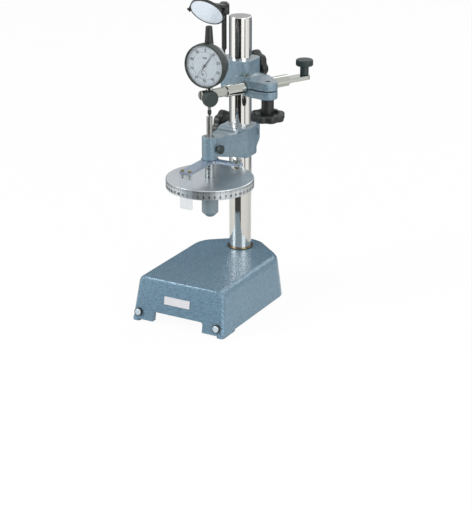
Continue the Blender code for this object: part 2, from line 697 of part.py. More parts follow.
def make_base_trim():
    """Plugs on the front legs, the bare plate, the collar round the column's foot and the set screw."""
    place = dict(location=(PLUG_X, -front_face(PLUG_Z), PLUG_Z), rotation=(pi / 2 - FRONT_LEAN, 0, 0))
    profile = [
        (0, PLUG_PROUD), (PLUG_RADIUS - THUMB_EDGE, PLUG_PROUD), (PLUG_RADIUS, PLUG_PROUD - THUMB_EDGE),
        (PLUG_RADIUS, GAP), (PLUG_SHANK_RADIUS, GAP), (PLUG_SHANK_RADIUS, -PLUG_SHANK), (0, -PLUG_SHANK),
    ]
    turned("leg_plug_right", profile, HAMMER, SMALL_STEPS, **place)
    place["location"] = (-PLUG_X, -front_face(PLUG_Z), PLUG_Z)
    turned("leg_plug_left", profile, HAMMER, SMALL_STEPS, **place)
    half = PLATE_WIDTH / 2
    box("name_plate", (-half, -PLATE_HEIGHT / 2, GAP), (half, PLATE_HEIGHT / 2, GAP + PLATE_THICKNESS), PLATE,
        location=(PLATE_X, -front_face(PLATE_Z), PLATE_Z), rotation=(pi / 2 - FRONT_LEAN, 0, 0))
    bore = COLUMN_RADIUS + GAP
    top = BASE_TOP + GAP + COLLAR_HEIGHT
    turned("column_collar", [
        (bore, top), (COLLAR_RADIUS - COLLAR_HEIGHT / 2, top), (COLLAR_RADIUS, top - COLLAR_HEIGHT / 2),
        (COLLAR_RADIUS, BASE_TOP + GAP), (bore, BASE_TOP + GAP),
    ], BRASS, ring=True)
    screw = bar("column_set_screw", SET_SCREW_RADIUS, COLUMN_RADIUS + GAP, COLUMN_RADIUS + GAP + SET_SCREW_LENGTH,
                STEEL, SMALL_STEPS, location=(0, 0, SET_SCREW_Z), rotation=FACING_Y)
    outer_end = COLUMN_RADIUS + GAP + SET_SCREW_LENGTH
    cut(screw, bar("set_screw_key", HEX_KEY_RADIUS, outer_end - HEX_KEY_DEPTH, outer_end + CUT, None, 6,
                   location=(0, 0, SET_SCREW_Z), rotation=FACING_Y))
    bar("column", COLUMN_RADIUS, BOSS_FLOOR + GAP, COLUMN_TOP, CHROME, ROUND_STEPS, COLUMN_CHAMFER)


def star_knob(name, seat, parent):
    """A moulded star knob on its stud. Local Z runs from the ear's face, at zero, to the hand."""
    points = STAR_LOBES * STAR_LOBE_POINTS
    outline = []
    for index in range(points):
        angle = 2 * pi * index / points
        valley = abs(sin(STAR_LOBES * angle / 2)) ** STAR_SHARPNESS
        radius = STAR_RADIUS - STAR_VALLEY * valley
        outline.append((radius * cos(angle), radius * sin(angle)))
    disc_foot = seat + STAR_NECK
    knob = prism(name, outline, disc_foot, disc_foot + STAR_THICKNESS, BLACK, STAR_EDGE, parent=parent)
    dish = turned(name + "_dish", [
        (STAR_NECK_RADIUS - GAP, disc_foot + STAR_DISH), (STAR_DISH_RADIUS - STAR_DISH, disc_foot + STAR_DISH),
        (STAR_DISH_RADIUS, disc_foot), (STAR_DISH_RADIUS, disc_foot - CUT),
        (STAR_NECK_RADIUS - GAP, disc_foot - CUT),
    ], None, MID_STEPS, ring=True, parent=parent)
    cut(knob, dish)
    join(knob, bar(name + "_neck", STAR_NECK_RADIUS, seat, disc_foot + STAR_DISH + CUT, None, MID_STEPS,
                   parent=parent))
    cut(knob, bar(name + "_socket", STUD_RADIUS + GAP, seat - CUT, seat + STAR_SOCKET, None, SMALL_STEPS,
                  parent=parent))
    return knob


def thumb_screw(name, seat, neck_radius, neck, head_radius, head, shank_radius, shank, paint, parent):
    """A round-headed screw for the fingers. Local Z runs from the seat to the head's outer face."""
    base = seat + neck
    profile = [
        (0, base + head), (head_radius - THUMB_EDGE, base + head), (head_radius, base + head - THUMB_EDGE),
        (head_radius, base + THUMB_EDGE), (head_radius - THUMB_EDGE, base), (neck_radius, base),
        (neck_radius, seat), (shank_radius, seat), (shank_radius, -shank), (0, -shank),
    ]
    return turned(name, profile, paint, MID_STEPS, parent=parent)


def make_lower_bracket():
    """Split clamp on the column, tapered arm and the sleeve that holds the micrometer head."""
    carrier = frame("lower_bracket_frame", (0, 0, 0))
    rear = arc((0, 0), LOWER_HALF, 0, pi)
    plan = fillet([(-LOWER_HALF, -LOWER_HALF), (LOWER_HALF, -LOWER_HALF), *rear],
                  [LOWER_WALL_CORNER, LOWER_WALL_CORNER, *[0] * len(rear)])
    bracket = prism("lower_bracket", plan, LOWER_FOOT, LOWER_TOP, HAMMER, THUMB_EDGE, parent=carrier)
    ear_foot = LOWER_FOOT + BOSS_STEP
    ear_top = LOWER_TOP - BOSS_STEP
    ear = fillet([
        (COLUMN_RADIUS / 2, ear_foot), (LOWER_EAR_FOOT_END, ear_foot), (LOWER_EAR_END, ear_foot + LOWER_EAR_SLANT),
        (LOWER_EAR_END, ear_top), (COLUMN_RADIUS / 2, ear_top),
    ], [0, LOWER_EAR_ROUND, LOWER_EAR_ROUND, LOWER_EAR_ROUND, 0])
    join(bracket, prism("lower_ears", ear, -LOWER_EAR_HALF, LOWER_EAR_HALF, None, parent=carrier,
                        rotation=LAID_ON_YZ))
    foot = ARM_FOOT + BOSS_STEP
    saddle = LOWER_TOP - ARM_SADDLE_DROP
    crest = LOWER_TOP + ARM_CREST_RISE
    root_half = LOWER_HALF - BOSS_STEP
    sleeve_rear = REACH - SLEEVE_RADIUS
    shoulder_end = LOWER_HALF + ARM_SHOULDER
    slope_end = shoulder_end + ARM_SHOULDER_SLOPE
    sides = ((COLUMN_RADIUS, root_half), (LOWER_HALF, root_half), (shoulder_end, ARM_SHOULDER_HALF),
             (REACH, ARM_FRONT_HALF))
    feet = ((COLUMN_RADIUS, ear_foot), (LOWER_HALF, ear_foot), (sleeve_rear, foot), (REACH, foot))
    tops = ((COLUMN_RADIUS, ear_top), (shoulder_end, ear_top), (slope_end, saddle), (REACH - ARM_CREST, crest),
            (REACH, crest))
    rows = []
    for along in (COLUMN_RADIUS, LOWER_HALF, shoulder_end, slope_end, REACH - ARM_CREST, sleeve_rear, REACH):
        half, low, high = (between(along, line) for line in (sides, feet, tops))
        knee = low + (high - low) * ARM_KNEE_SHARE
        inner = half - ARM_WEB_SET_BACK
        section = fillet([(-inner, low), (inner, low), (half, knee), (half, high), (-half, high), (-half, knee)],
                         [ARM_EDGE, ARM_EDGE, 0, ARM_EDGE, ARM_EDGE, 0], 2)
        rows.append([(x, -along, z) for x, z in section])
    join(bracket, loft("lower_arm", rows, None, parent=carrier))
    join(bracket, bar("micrometer_sleeve", SLEEVE_RADIUS, ARM_FOOT, SLEEVE_TOP, None, parent=carrier,
                      location=(0, -REACH, 0)))
    cut(bracket, bar("lower_column_bore", COLUMN_RADIUS + GAP, LOWER_FOOT - CUT, SLEEVE_TOP + CUT, None,
                     parent=carrier))
    cut(bracket, bar("micrometer_bore", BARREL_RADIUS + GAP, ARM_FOOT - CUT, SLEEVE_TOP + CUT, None,
                     parent=carrier, location=(0, -REACH, 0)))
    slot_end = LOWER_EAR_END + CUT
    cut(bracket, box("lower_slot", (-SLOT_WIDTH / 2, COLUMN_RADIUS / 2, LOWER_FOOT - CUT),
                     (SLOT_WIDTH / 2, slot_end, SLEEVE_TOP + CUT), None, parent=carrier))
    stud_place = dict(parent=carrier, location=(0, LOWER_STUD_Y, LOWER_STUD_Z), rotation=FACING_X)
    reach = LOWER_EAR_HALF + CUT
    cut(bracket, bar("lower_spot_face", STAR_NECK_RADIUS + 2 * GAP, -LOWER_HALF - CUT, -LOWER_EAR_HALF, None,
                     MID_STEPS, **stud_place))
    cut(bracket, bar("lower_stud_hole", STUD_RADIUS + GAP, -reach, reach, None, SMALL_STEPS, **stud_place))
    cut(bracket, bar("lower_stud_recess", STUD_RECESS_RADIUS, LOWER_EAR_HALF - STUD_RECESS, reach, None,
                     SMALL_STEPS, **stud_place))
    cut(bracket, bar("lock_screw_hole", LOCK_SHANK_RADIUS + GAP, 0, SLEEVE_RADIUS + CUT, None, SMALL_STEPS,
                     parent=carrier, location=(0, -REACH, LOCK_Z), rotation=FACING_X))

    clamp = frame("lower_clamp_frame", (0, LOWER_STUD_Y, LOWER_STUD_Z), carrier, FACING_BACK_X)
    star_knob("lower_clamp_knob", LOWER_EAR_HALF + GAP, clamp)
    bar("lower_clamp_stud", STUD_RADIUS, -LOWER_EAR_HALF + STUD_RECESS / 2,
        LOWER_EAR_HALF + STAR_SOCKET, STEEL, SMALL_STEPS, THUMB_EDGE, parent=clamp)

    lock = frame("lock_screw_frame", (0, -REACH, LOCK_Z), carrier, FACING_X)
    thumb_screw("micrometer_lock_screw", SLEEVE_RADIUS + GAP, LOCK_NECK_RADIUS, LOCK_NECK, LOCK_HEAD_RADIUS,
                LOCK_HEAD, LOCK_SHANK_RADIUS, -BARREL_RADIUS - GAP, BLACKENED, lock)
    return carrier


def make_micrometer(carrier):
    """Fixed barrel, rising spindle, graduated drum and its knob, all on the micrometer's axis."""
    axis = frame("micrometer_axis", (0, -REACH, 0), carrier)
    turned("micrometer_barrel", [
        (BARREL_BORE, BARREL_TOP), (BARREL_RADIUS - SPINDLE_CHAMFER, BARREL_TOP),
        (BARREL_RADIUS, BARREL_TOP - SPINDLE_CHAMFER), (BARREL_RADIUS, BARREL_FOOT), (BARREL_BORE, BARREL_FOOT),
    ], STEEL, ring=True, parent=axis)
    bar("micrometer_spindle", SPINDLE_RADIUS, KNOB_FLOOR - KNOB_SOCKET + GAP, SPINDLE_TOP, STEEL, ROUND_STEPS,
        SPINDLE_CHAMFER, parent=axis)
    bore = BARREL_RADIUS + GAP
    rim_bore = DRUM_RADIUS - DRUM_RIM_WALL
    web_foot = DRUM_TOP - DRUM_WEB
    turned("drum", [
        (bore, DRUM_TOP), (DRUM_RADIUS - DRUM_EDGE, DRUM_TOP), (DRUM_RADIUS, DRUM_TOP - DRUM_EDGE),
        (DRUM_RADIUS, DRUM_FOOT + DRUM_EDGE), (DRUM_RADIUS - DRUM_EDGE, DRUM_FOOT), (rim_bore, DRUM_FOOT),
        (rim_bore, web_foot), (HUB_RADIUS, web_foot), (HUB_RADIUS, DRUM_FOOT), (bore, DRUM_FOOT),
    ], SATIN, BIG_STEPS, ring=True, parent=axis)
    top = DRUM_FOOT - GAP
    turned("drum_knob", [
        (bore, top), (KNOB_RADIUS, top), (KNOB_RADIUS, KNOB_FOOT + KNOB_TAPER),
        (KNOB_RADIUS - THUMB_EDGE, KNOB_FOOT + KNOB_TAPER - THUMB_EDGE), (KNOB_TIP_RADIUS, KNOB_FOOT),
        (0, KNOB_FOOT), (0, KNOB_FLOOR - KNOB_SOCKET), (SPINDLE_RADIUS + GAP, KNOB_FLOOR - KNOB_SOCKET),
        (SPINDLE_RADIUS + GAP, KNOB_FLOOR), (bore, KNOB_FLOOR),
    ], HAMMER, ring=True, parent=axis)
    return axis


def make_index(axis):
    """Index plate that turns on the barrel, its clear window, its screws and the ring that keeps it up."""
    bar_angle = asin(INDEX_BAR_HALF / INDEX_RING_RADIUS)
    lever_angle = asin(INDEX_LEVER_HALF / INDEX_RING_RADIUS)
    near = arc((0, 0), INDEX_RING_RADIUS, bar_angle - pi / 2, -lever_angle, 3)
    far = arc((0, 0), INDEX_RING_RADIUS, lever_angle, 3 * pi / 2 - bar_angle)
    plan = fillet([
        (-INDEX_BAR_HALF, -INDEX_BAR_REACH), (INDEX_BAR_HALF, -INDEX_BAR_REACH), *near,
        (INDEX_LEVER_REACH, -INDEX_LEVER_HALF), (INDEX_LEVER_REACH, INDEX_LEVER_HALF), *far,
    ], [INDEX_CORNER, INDEX_CORNER, *[0] * len(near), INDEX_LEVER_HALF - GAP, INDEX_LEVER_HALF - GAP,
        *[0] * len(far)])
    plate = prism("index_plate", plan, INDEX_FOOT, INDEX_TOP, STEEL, parent=axis)
    cut(plate, bar("index_bore", BARREL_RADIUS + GAP, INDEX_FOOT - CUT, INDEX_TOP + CUT, None, parent=axis))
    middle = -(DRUM_RADIUS + WINDOW_STANDOFF + WINDOW_THICKNESS / 2)
    window_top = INDEX_FOOT - GAP
    window = box("index_window", (-WINDOW_HALF, middle - WINDOW_THICKNESS / 2, WINDOW_FOOT),
                 (WINDOW_HALF, middle + WINDOW_THICKNESS / 2, window_top), CLEAR, parent=axis)
    screw_foot = INDEX_TOP - INDEX_THICKNESS - WINDOW_SCREW_DEPTH
    screw_top = INDEX_TOP + GAP + WINDOW_SCREW_HEIGHT
    for side, word in ((-1, "left"), (1, "right")):
        place = dict(location=(side * WINDOW_SCREW_X, middle, 0), parent=axis)
        hole = bar("window_hole_" + word, WINDOW_SCREW_RADIUS + GAP, screw_foot - GAP, INDEX_TOP + CUT, None,
                   TINY_STEPS, **place)
        cut(plate, hole)
        cut(window, hole)
        screw = turned("window_screw_" + word, [
            (0, screw_top), (WINDOW_SCREW_HEAD, screw_top), (WINDOW_SCREW_HEAD, INDEX_TOP + GAP),
            (WINDOW_SCREW_RADIUS, INDEX_TOP + GAP), (WINDOW_SCREW_RADIUS, screw_foot), (0, screw_foot),
        ], BRASS, SMALL_STEPS, **place)
        cut(screw, box("window_slot_" + word, (-WINDOW_SCREW_HEAD - CUT, -SLOT_CUT / 2, screw_top - SLOT_CUT),
                       (WINDOW_SCREW_HEAD + CUT, SLOT_CUT / 2, screw_top + CUT), None, **place))
    lever_place = dict(location=(LEVER_SCREW_X, 0, 0), parent=axis)
    cut(plate, bar("lever_hole", LEVER_SCREW_RADIUS + GAP, INDEX_FOOT - CUT, INDEX_TOP + CUT, None, TINY_STEPS,
                   **lever_place))
    foot = INDEX_FOOT - GAP
    tip = INDEX_TOP + LEVER_SCREW_TIP
    turned("lever_screw", [
        (0, tip), (LEVER_SCREW_RADIUS, tip), (LEVER_SCREW_RADIUS, foot), (LEVER_SCREW_HEAD, foot),
        (LEVER_SCREW_HEAD, foot - LEVER_SCREW_HEIGHT), (0, foot - LEVER_SCREW_HEIGHT),
    ], BRASS, SMALL_STEPS, **lever_place)
    turned("index_retainer", [
        (BARREL_RADIUS + GAP, foot), (RETAINER_RADIUS, foot), (RETAINER_RADIUS, foot - RETAINER_THICKNESS),
        (BARREL_RADIUS + GAP, foot - RETAINER_THICKNESS),
    ], STEEL, ring=True, parent=axis)


def make_upper_bracket():
    """Split clamp on the column with a split arm that grips the holder rod. Local X runs out along the arm."""
    carrier = frame("upper_bracket_frame", (0, 0, 0), None, (0, 0, -TURN))
    bracket = prism("upper_bracket", rounded_square(UPPER_HALF, UPPER_WALL_CORNER, TURN), UPPER_FOOT, UPPER_TOP,
                    HAMMER, THUMB_EDGE, parent=carrier)
    arm_foot = ROD_Z - UPPER_ARM_HALF_HEIGHT
    arm_top = ROD_Z + UPPER_ARM_HALF_HEIGHT
    run = hypot(LUG_X - ARM_STRAIGHT_END, UPPER_ARM_HALF_WIDTH)
    touch = atan2(UPPER_ARM_HALF_WIDTH, ARM_STRAIGHT_END - LUG_X) - acos(LUG_RADIUS / run)
    lug = arc((LUG_X, 0), LUG_RADIUS, -touch, touch)
    plan = fillet([
        (0, -UPPER_ARM_HALF_WIDTH), (ARM_STRAIGHT_END, -UPPER_ARM_HALF_WIDTH),
        *lug,
        (ARM_STRAIGHT_END, UPPER_ARM_HALF_WIDTH), (0, UPPER_ARM_HALF_WIDTH),
    ], [0, UPPER_EAR_ROUND, *[0] * len(lug), UPPER_EAR_ROUND, 0])
    join(bracket, prism("upper_arm", plan, arm_foot, arm_top, None, THUMB_EDGE, parent=carrier))
    rod_place = dict(location=(ROD_OFFSET, 0, ROD_Z), rotation=FACING_Y, parent=carrier)
    boss_half = UPPER_ARM_HALF_WIDTH + BOSS_STEP
    join(bracket, bar("rod_boss", ROD_RADIUS + BORE_WALL, -boss_half, boss_half, None, **rod_place))
    ear_foot = UPPER_FOOT + UPPER_EAR_LIFT
    ear_top = UPPER_TOP - BOSS_STEP
    ears = fillet([
        (-UPPER_EAR_END, ear_foot), (0, ear_foot), (0, ear_top), (-UPPER_EAR_END, ear_top),
    ], [UPPER_EAR_ROUND, 0, 0, UPPER_EAR_ROUND])
    join(bracket, prism("upper_ears", ears, -UPPER_EAR_HALF, UPPER_EAR_HALF, None, THUMB_EDGE, parent=carrier,
                        rotation=LAID_ON_XZ))
    join(bracket, bar("guide_boss", GUIDE_BOSS_RADIUS, ROD_Z, GUIDE_BOSS_TOP, None, MID_STEPS, parent=carrier,
                      location=(GUIDE_SCREW_X, -GUIDE_SCREW_Y, 0)))
    cut(bracket, bar("upper_column_bore", COLUMN_RADIUS + GAP, UPPER_FOOT - CUT, UPPER_TOP + CUT, None,
                     parent=carrier))
    bore_half = GUIDE_SCREW_Y + GUIDE_BOSS_RADIUS + CUT
    cut(bracket, bar("rod_bore", ROD_RADIUS + GAP, -bore_half, bore_half, None, **rod_place))
    cut(bracket, box("arm_slit", (ROD_OFFSET, -UPPER_ARM_HALF_WIDTH - CUT, ROD_Z - CLAMP_SLIT / 2),
                     (LUG_X + LUG_RADIUS + CUT, UPPER_ARM_HALF_WIDTH + CUT, ROD_Z + CLAMP_SLIT / 2), None,
                     parent=carrier))
    cut(bracket, box("upper_slot", (-UPPER_EAR_END - CUT, -SLOT_WIDTH / 2, UPPER_FOOT - CUT),
                     (-COLUMN_RADIUS / 2, SLOT_WIDTH / 2, UPPER_TOP + CUT), None, parent=carrier))
    reach = UPPER_EAR_HALF + CUT
    cut(bracket, bar("upper_stud_hole", STUD_RADIUS + GAP, -reach, reach, None, SMALL_STEPS, parent=carrier,
                     location=(-UPPER_EAR_X, 0, UPPER_STUD_Z), rotation=FACING_Y))
    cut(bracket, bar("rod_stud_hole", STUD_RADIUS + GAP, arm_foot - CUT, arm_top + CUT, None, SMALL_STEPS,
                     parent=carrier, location=(LUG_X, 0, 0)))
    cut(bracket, bar("post_hole", POST_SPIGOT_RADIUS + GAP, UPPER_TOP - POST_SPIGOT - GAP, UPPER_TOP + CUT, None,
                     TINY_STEPS, parent=carrier, location=(-UPPER_EAR_X, -POST_ALONG, 0)))
    guide_place = dict(parent=carrier, location=(GUIDE_SCREW_X, -GUIDE_SCREW_Y, 0))
    head_foot = GUIDE_BOSS_TOP - GUIDE_SCREW_HEIGHT
    cut(bracket, turned("guide_hole", [
        (0, GUIDE_BOSS_TOP + CUT), (GUIDE_SCREW_RADIUS + GAP, GUIDE_BOSS_TOP + CUT),
        (GUIDE_SCREW_RADIUS + GAP, head_foot - GAP), (GUIDE_SHANK_RADIUS + GAP, head_foot - GAP),
        (GUIDE_SHANK_RADIUS + GAP, head_foot - GUIDE_SHANK - GAP), (0, head_foot - GUIDE_SHANK - GAP),
    ], None, MID_STEPS, **guide_place))
    guide = turned("guide_screw", [
        (0, GUIDE_BOSS_TOP), (GUIDE_SCREW_RADIUS, GUIDE_BOSS_TOP), (GUIDE_SCREW_RADIUS, head_foot),
        (GUIDE_SHANK_RADIUS, head_foot), (GUIDE_SHANK_RADIUS, head_foot - GUIDE_SHANK), (0, head_foot - GUIDE_SHANK),
    ], BRASS, MID_STEPS, **guide_place)
    cut(guide, box("guide_slot", (-GUIDE_SCREW_RADIUS - CUT, -SLOT_CUT / 2, GUIDE_BOSS_TOP - SLOT_CUT),
                   (GUIDE_SCREW_RADIUS + CUT, SLOT_CUT / 2, GUIDE_BOSS_TOP + CUT), None, **guide_place))

    column_clamp = frame("column_clamp_frame", (-UPPER_EAR_X, 0, UPPER_STUD_Z), carrier, FACING_Y)
    star_knob("column_clamp_knob", UPPER_EAR_HALF + GAP, column_clamp)
    bar("column_clamp_stud", STUD_RADIUS, -UPPER_EAR_HALF + STUD_RECESS / 2, UPPER_EAR_HALF + STAR_SOCKET, STEEL,
        SMALL_STEPS, THUMB_EDGE, parent=column_clamp)
    rod_clamp = frame("rod_clamp_frame", (LUG_X, 0, ROD_Z), carrier, FACING_DOWN)
    star_knob("rod_clamp_knob", UPPER_ARM_HALF_HEIGHT + GAP, rod_clamp)
    bar("rod_clamp_stud", STUD_RADIUS, -UPPER_ARM_HALF_HEIGHT + STUD_RECESS / 2,
        UPPER_ARM_HALF_HEIGHT + STAR_SOCKET, STEEL, SMALL_STEPS, THUMB_EDGE, parent=rod_clamp)
    return carrier


def make_holder_rod(carrier):
    """Stepped rod: split front end that grips the stem, thick middle in the bracket, flat tongue at the rear."""
    rod_frame = frame("holder_rod_frame", (ROD_OFFSET, -STEM_ALONG, ROD_Z), carrier, FACING_Y)
    rod = turned("holder_rod", [
        (0, ROD_END + CUT), (ROD_RADIUS, ROD_END + CUT), (ROD_RADIUS, ROD_STEP + ROD_CHAMFER),
        (ROD_RADIUS - ROD_CHAMFER, ROD_STEP), (ROD_FRONT_RADIUS, ROD_STEP),
        (ROD_FRONT_RADIUS, -ROD_FRONT_END + ROD_CHAMFER), (ROD_FRONT_RADIUS - ROD_CHAMFER, -ROD_FRONT_END),
        (0, -ROD_FRONT_END),
    ], CHROME, parent=rod_frame)
    reach = ROD_RADIUS + CUT
    past_end = ROD_END + 2 * CUT
    cut(rod, box("tongue_upper", (-reach, -reach, ROD_TONGUE_START), (reach, -TONGUE_HALF, past_end), None,
                 parent=rod_frame))
    cut(rod, box("tongue_lower", (-reach, TONGUE_HALF, ROD_TONGUE_START), (reach, reach, past_end), None,
                 parent=rod_frame))
    nose_radius = ROD_RADIUS + GAP
    nose_start = ROD_END - nose_radius
    nose = [(-reach, nose_start), *arc((0, nose_start), nose_radius, pi, 0), (reach, nose_start),
            (reach, past_end), (-reach, past_end)]
    cut(rod, prism("tongue_nose", nose, -reach, reach, None, parent=rod_frame, rotation=LAID_ON_XZ))
    cut(rod, bar("stem_hole", STEM_RADIUS + GAP, -reach, reach, None, MID_STEPS, parent=rod_frame,
                 rotation=FACING_FRONT))
    cut(rod, box("rod_slit", (-ROD_SLIT / 2, -reach, -ROD_FRONT_END - CUT), (ROD_SLIT / 2, reach, 0), None,
                 parent=rod_frame))
    cut(rod, bar("stem_screw_hole", THUMB_SHANK_RADIUS + GAP, -reach, reach, None, TINY_STEPS, parent=rod_frame,
                 location=(0, STEM_THUMB_DROP, -STEM_THUMB_ALONG), rotation=FACING_X))
    cut(rod, bar("tongue_hole", TONGUE_SHANK_RADIUS + GAP, -reach, reach, None, SMALL_STEPS, parent=rod_frame,
                 location=(0, 0, TONGUE_SCREW), rotation=FACING_FRONT))

    stem_screw = frame("stem_screw_frame", (0, STEM_THUMB_DROP, -STEM_THUMB_ALONG), rod_frame, FACING_X)
    thumb_screw("stem_clamp_screw", ROD_FRONT_RADIUS + GAP, STEM_THUMB_NECK_RADIUS, STEM_THUMB_NECK,
                STEM_THUMB_RADIUS, STEM_THUMB_HEAD, THUMB_SHANK_RADIUS, ROD_FRONT_RADIUS - CUT, BLACK, stem_screw)
    tongue_screw = frame("tongue_screw_frame", (0, 0, TONGUE_SCREW), rod_frame, FACING_FRONT)
    thumb_screw("tongue_screw", TONGUE_HALF + GAP, TONGUE_THUMB_NECK_RADIUS, TONGUE_THUMB_NECK, TONGUE_THUMB_RADIUS,
                TONGUE_THUMB_HEAD, TONGUE_SHANK_RADIUS, TONGUE_HALF + TONGUE_SHANK_TIP, BLACK, tongue_screw)


def needle(name, length, tail, root, tip, hub_radius, arbor_foot, lift, turn, parent, location):
    """A dial hand in the local XY plane: tapered blade, hub and the arbor that carries it."""
    blade = [(-root, -tail), (root, -tail), (root, 0), (tip, length), (-tip, length), (-root, 0)]
    spin = Matrix.Rotation(-turn, 2)
    outline = [tuple(spin @ Vector(point)) for point in blade]
    hand = prism(name, outline, lift, lift + POINTER_THICKNESS, BLACKENED, parent=parent, location=location)
    top = lift + POINTER_THICKNESS + HUB_PROUD
    join(hand, turned(name + "_hub", [
        (0, top), (hub_radius, top), (hub_radius, lift), (ARBOR_RADIUS, lift), (ARBOR_RADIUS, arbor_foot),
        (0, arbor_foot),
    ], None, TINY_STEPS, parent=parent, location=location))
    return hand


def make_indicator():
    """Dial indicator: case, cover, stem, cap, turning bezel with its graduated ring, hands and plunger."""
    stem_axis = frame("indicator_frame", (0, -REACH, 0))
    face = frame("dial_frame", (0, 0, DIAL_Z), stem_axis, FACING_FRONT)
    case = turned("indicator_case", [
        (0, CASE_SEAT), (CASE_RECESS_RADIUS, CASE_SEAT), (CASE_RECESS_RADIUS, CASE_FRONT),
        (CASE_FLANGE_RADIUS, CASE_FRONT), (CASE_FLANGE_RADIUS, CASE_SHOULDER), (CASE_RADIUS, CASE_SHOULDER),
        (CASE_RADIUS, -CASE_BACK + THUMB_EDGE), (CASE_RADIUS - THUMB_EDGE, -CASE_BACK), (0, -CASE_BACK),
    ], CASE, BIG_STEPS, parent=face)
    flat = acos((BEZEL_BACK - GAP) / CASE_BOSS_RADIUS)
    boss = arc((0, 0), CASE_BOSS_RADIUS, flat - pi / 2, 3 * pi / 2 - flat)
    join(case, prism("case_bosses", boss, CASE_BOSS_FOOT, CASE_BOSS_TOP, None, parent=stem_axis))
    cut(case, turned("plunger_bore", [
        (0, CASE_BOSS_TOP + CUT), (PLUNGER_RADIUS + GAP, CASE_BOSS_TOP + CUT),
        (PLUNGER_RADIUS + GAP, CASE_BOSS_FOOT - CUT), (0, CASE_BOSS_FOOT - CUT),
    ], None, SMALL_STEPS, parent=stem_axis))
    arbor_foot = CASE_SEAT - ARBOR_DEPTH
    counter = (COUNTER_X, COUNTER_Y, 0)
    centre_disc = bar("dial_centre", RING_INNER - GAP, DIAL_FOOT, DIAL_TOP, DIAL, ROUND_STEPS, parent=face)
    for target, foot, word in ((case, arbor_foot - GAP, "case"), (centre_disc, DIAL_FOOT - CUT, "dial")):
        for spot, where in (((0, 0, 0), "_pointer_hole"), (counter, "_counter_hole")):
            cut(target, bar(word + where, ARBOR_RADIUS + GAP, foot, DIAL_TOP + CUT, None, TINY_STEPS, parent=face,
                            location=spot))
    turned("dial_ring", [
        (RING_INNER, DIAL_TOP), (RING_OUTER, DIAL_TOP), (RING_OUTER, DIAL_FOOT), (RING_INNER, DIAL_FOOT),
    ], DIAL, BIG_STEPS, ring=True, parent=face)
    cover_top = -CASE_BACK - GAP
    turned("case_cover", [
        (0, cover_top), (COVER_RADIUS, cover_top), (COVER_RADIUS, cover_top - COVER_THICKNESS / 2),
        (COVER_RADIUS - COVER_THICKNESS / 2, cover_top - COVER_THICKNESS), (0, cover_top - COVER_THICKNESS),
    ], CASE, BIG_STEPS, parent=face)
    skirt = CASE_FLANGE_RADIUS + GAP
    turned("bezel", [
        (BEZEL_LIP_RADIUS, BEZEL_FRONT - BEZEL_EDGE), (BEZEL_LIP_RADIUS + BEZEL_EDGE, BEZEL_FRONT),
        (BEZEL_RADIUS - BEZEL_EDGE, BEZEL_FRONT), (BEZEL_RADIUS, BEZEL_FRONT - BEZEL_EDGE),
        (BEZEL_RADIUS, BEZEL_BACK), (skirt, BEZEL_BACK),
        (skirt, BEZEL_SHELF), (BEZEL_LIP_RADIUS, BEZEL_SHELF),
    ], BLACKENED, BIG_STEPS, ring=True, parent=face)
    bar("crystal", CASE_FLANGE_RADIUS, CRYSTAL_FOOT, BEZEL_SHELF - GAP, GLASS, BIG_STEPS, parent=face)
    needle("pointer", POINTER_LENGTH, POINTER_TAIL, POINTER_ROOT, POINTER_TIP, POINTER_HUB_RADIUS, arbor_foot,
           DIAL_TOP + POINTER_LIFT, POINTER_TURN, face, (0, 0, 0))
    needle("counter_pointer", COUNTER_LENGTH, COUNTER_TAIL, POINTER_TIP, POINTER_TIP, COUNTER_HUB_RADIUS, arbor_foot,
           DIAL_TOP + COUNTER_LIFT, COUNTER_TURN, face, counter)

    stem_top = CASE_BOSS_FOOT - GAP
    bore = PLUNGER_RADIUS + GAP
    turned("indicator_stem", [
        (bore, stem_top), (STEM_RADIUS, stem_top), (STEM_RADIUS, STEM_FOOT), (bore, STEM_FOOT),
    ], CHROME, MID_STEPS, ring=True, parent=stem_axis)
    cap_foot = CASE_BOSS_TOP + GAP
    turned("plunger_cap", [
        (bore, cap_foot), (bore, CAP_TOP - CAP_CEILING), (0, CAP_TOP - CAP_CEILING), (0, CAP_TOP),
        (CAP_TOP_RADIUS - THUMB_EDGE, CAP_TOP), (CAP_TOP_RADIUS, CAP_TOP - THUMB_EDGE), (CAP_FOOT_RADIUS, cap_foot),
    ], BLACK, MID_STEPS, ring=True, parent=stem_axis)
    bar("plunger", PLUNGER_RADIUS, CONTACT_TOP + GAP, PLUNGER_TOP, STEEL, SMALL_STEPS, parent=stem_axis)
    tip = SPINDLE_TOP + GAP
    turned("contact_point", [
        (0, CONTACT_TOP), (CONTACT_RADIUS, CONTACT_TOP), (CONTACT_RADIUS, tip + 2 * CONTACT_TIP_RADIUS),
        (CONTACT_TIP_RADIUS, tip + CONTACT_TIP_RADIUS / 2), (CONTACT_TIP_RADIUS / 2, tip), (0, tip),
    ], BLACKENED, SMALL_STEPS, parent=stem_axis)
    return stem_axis


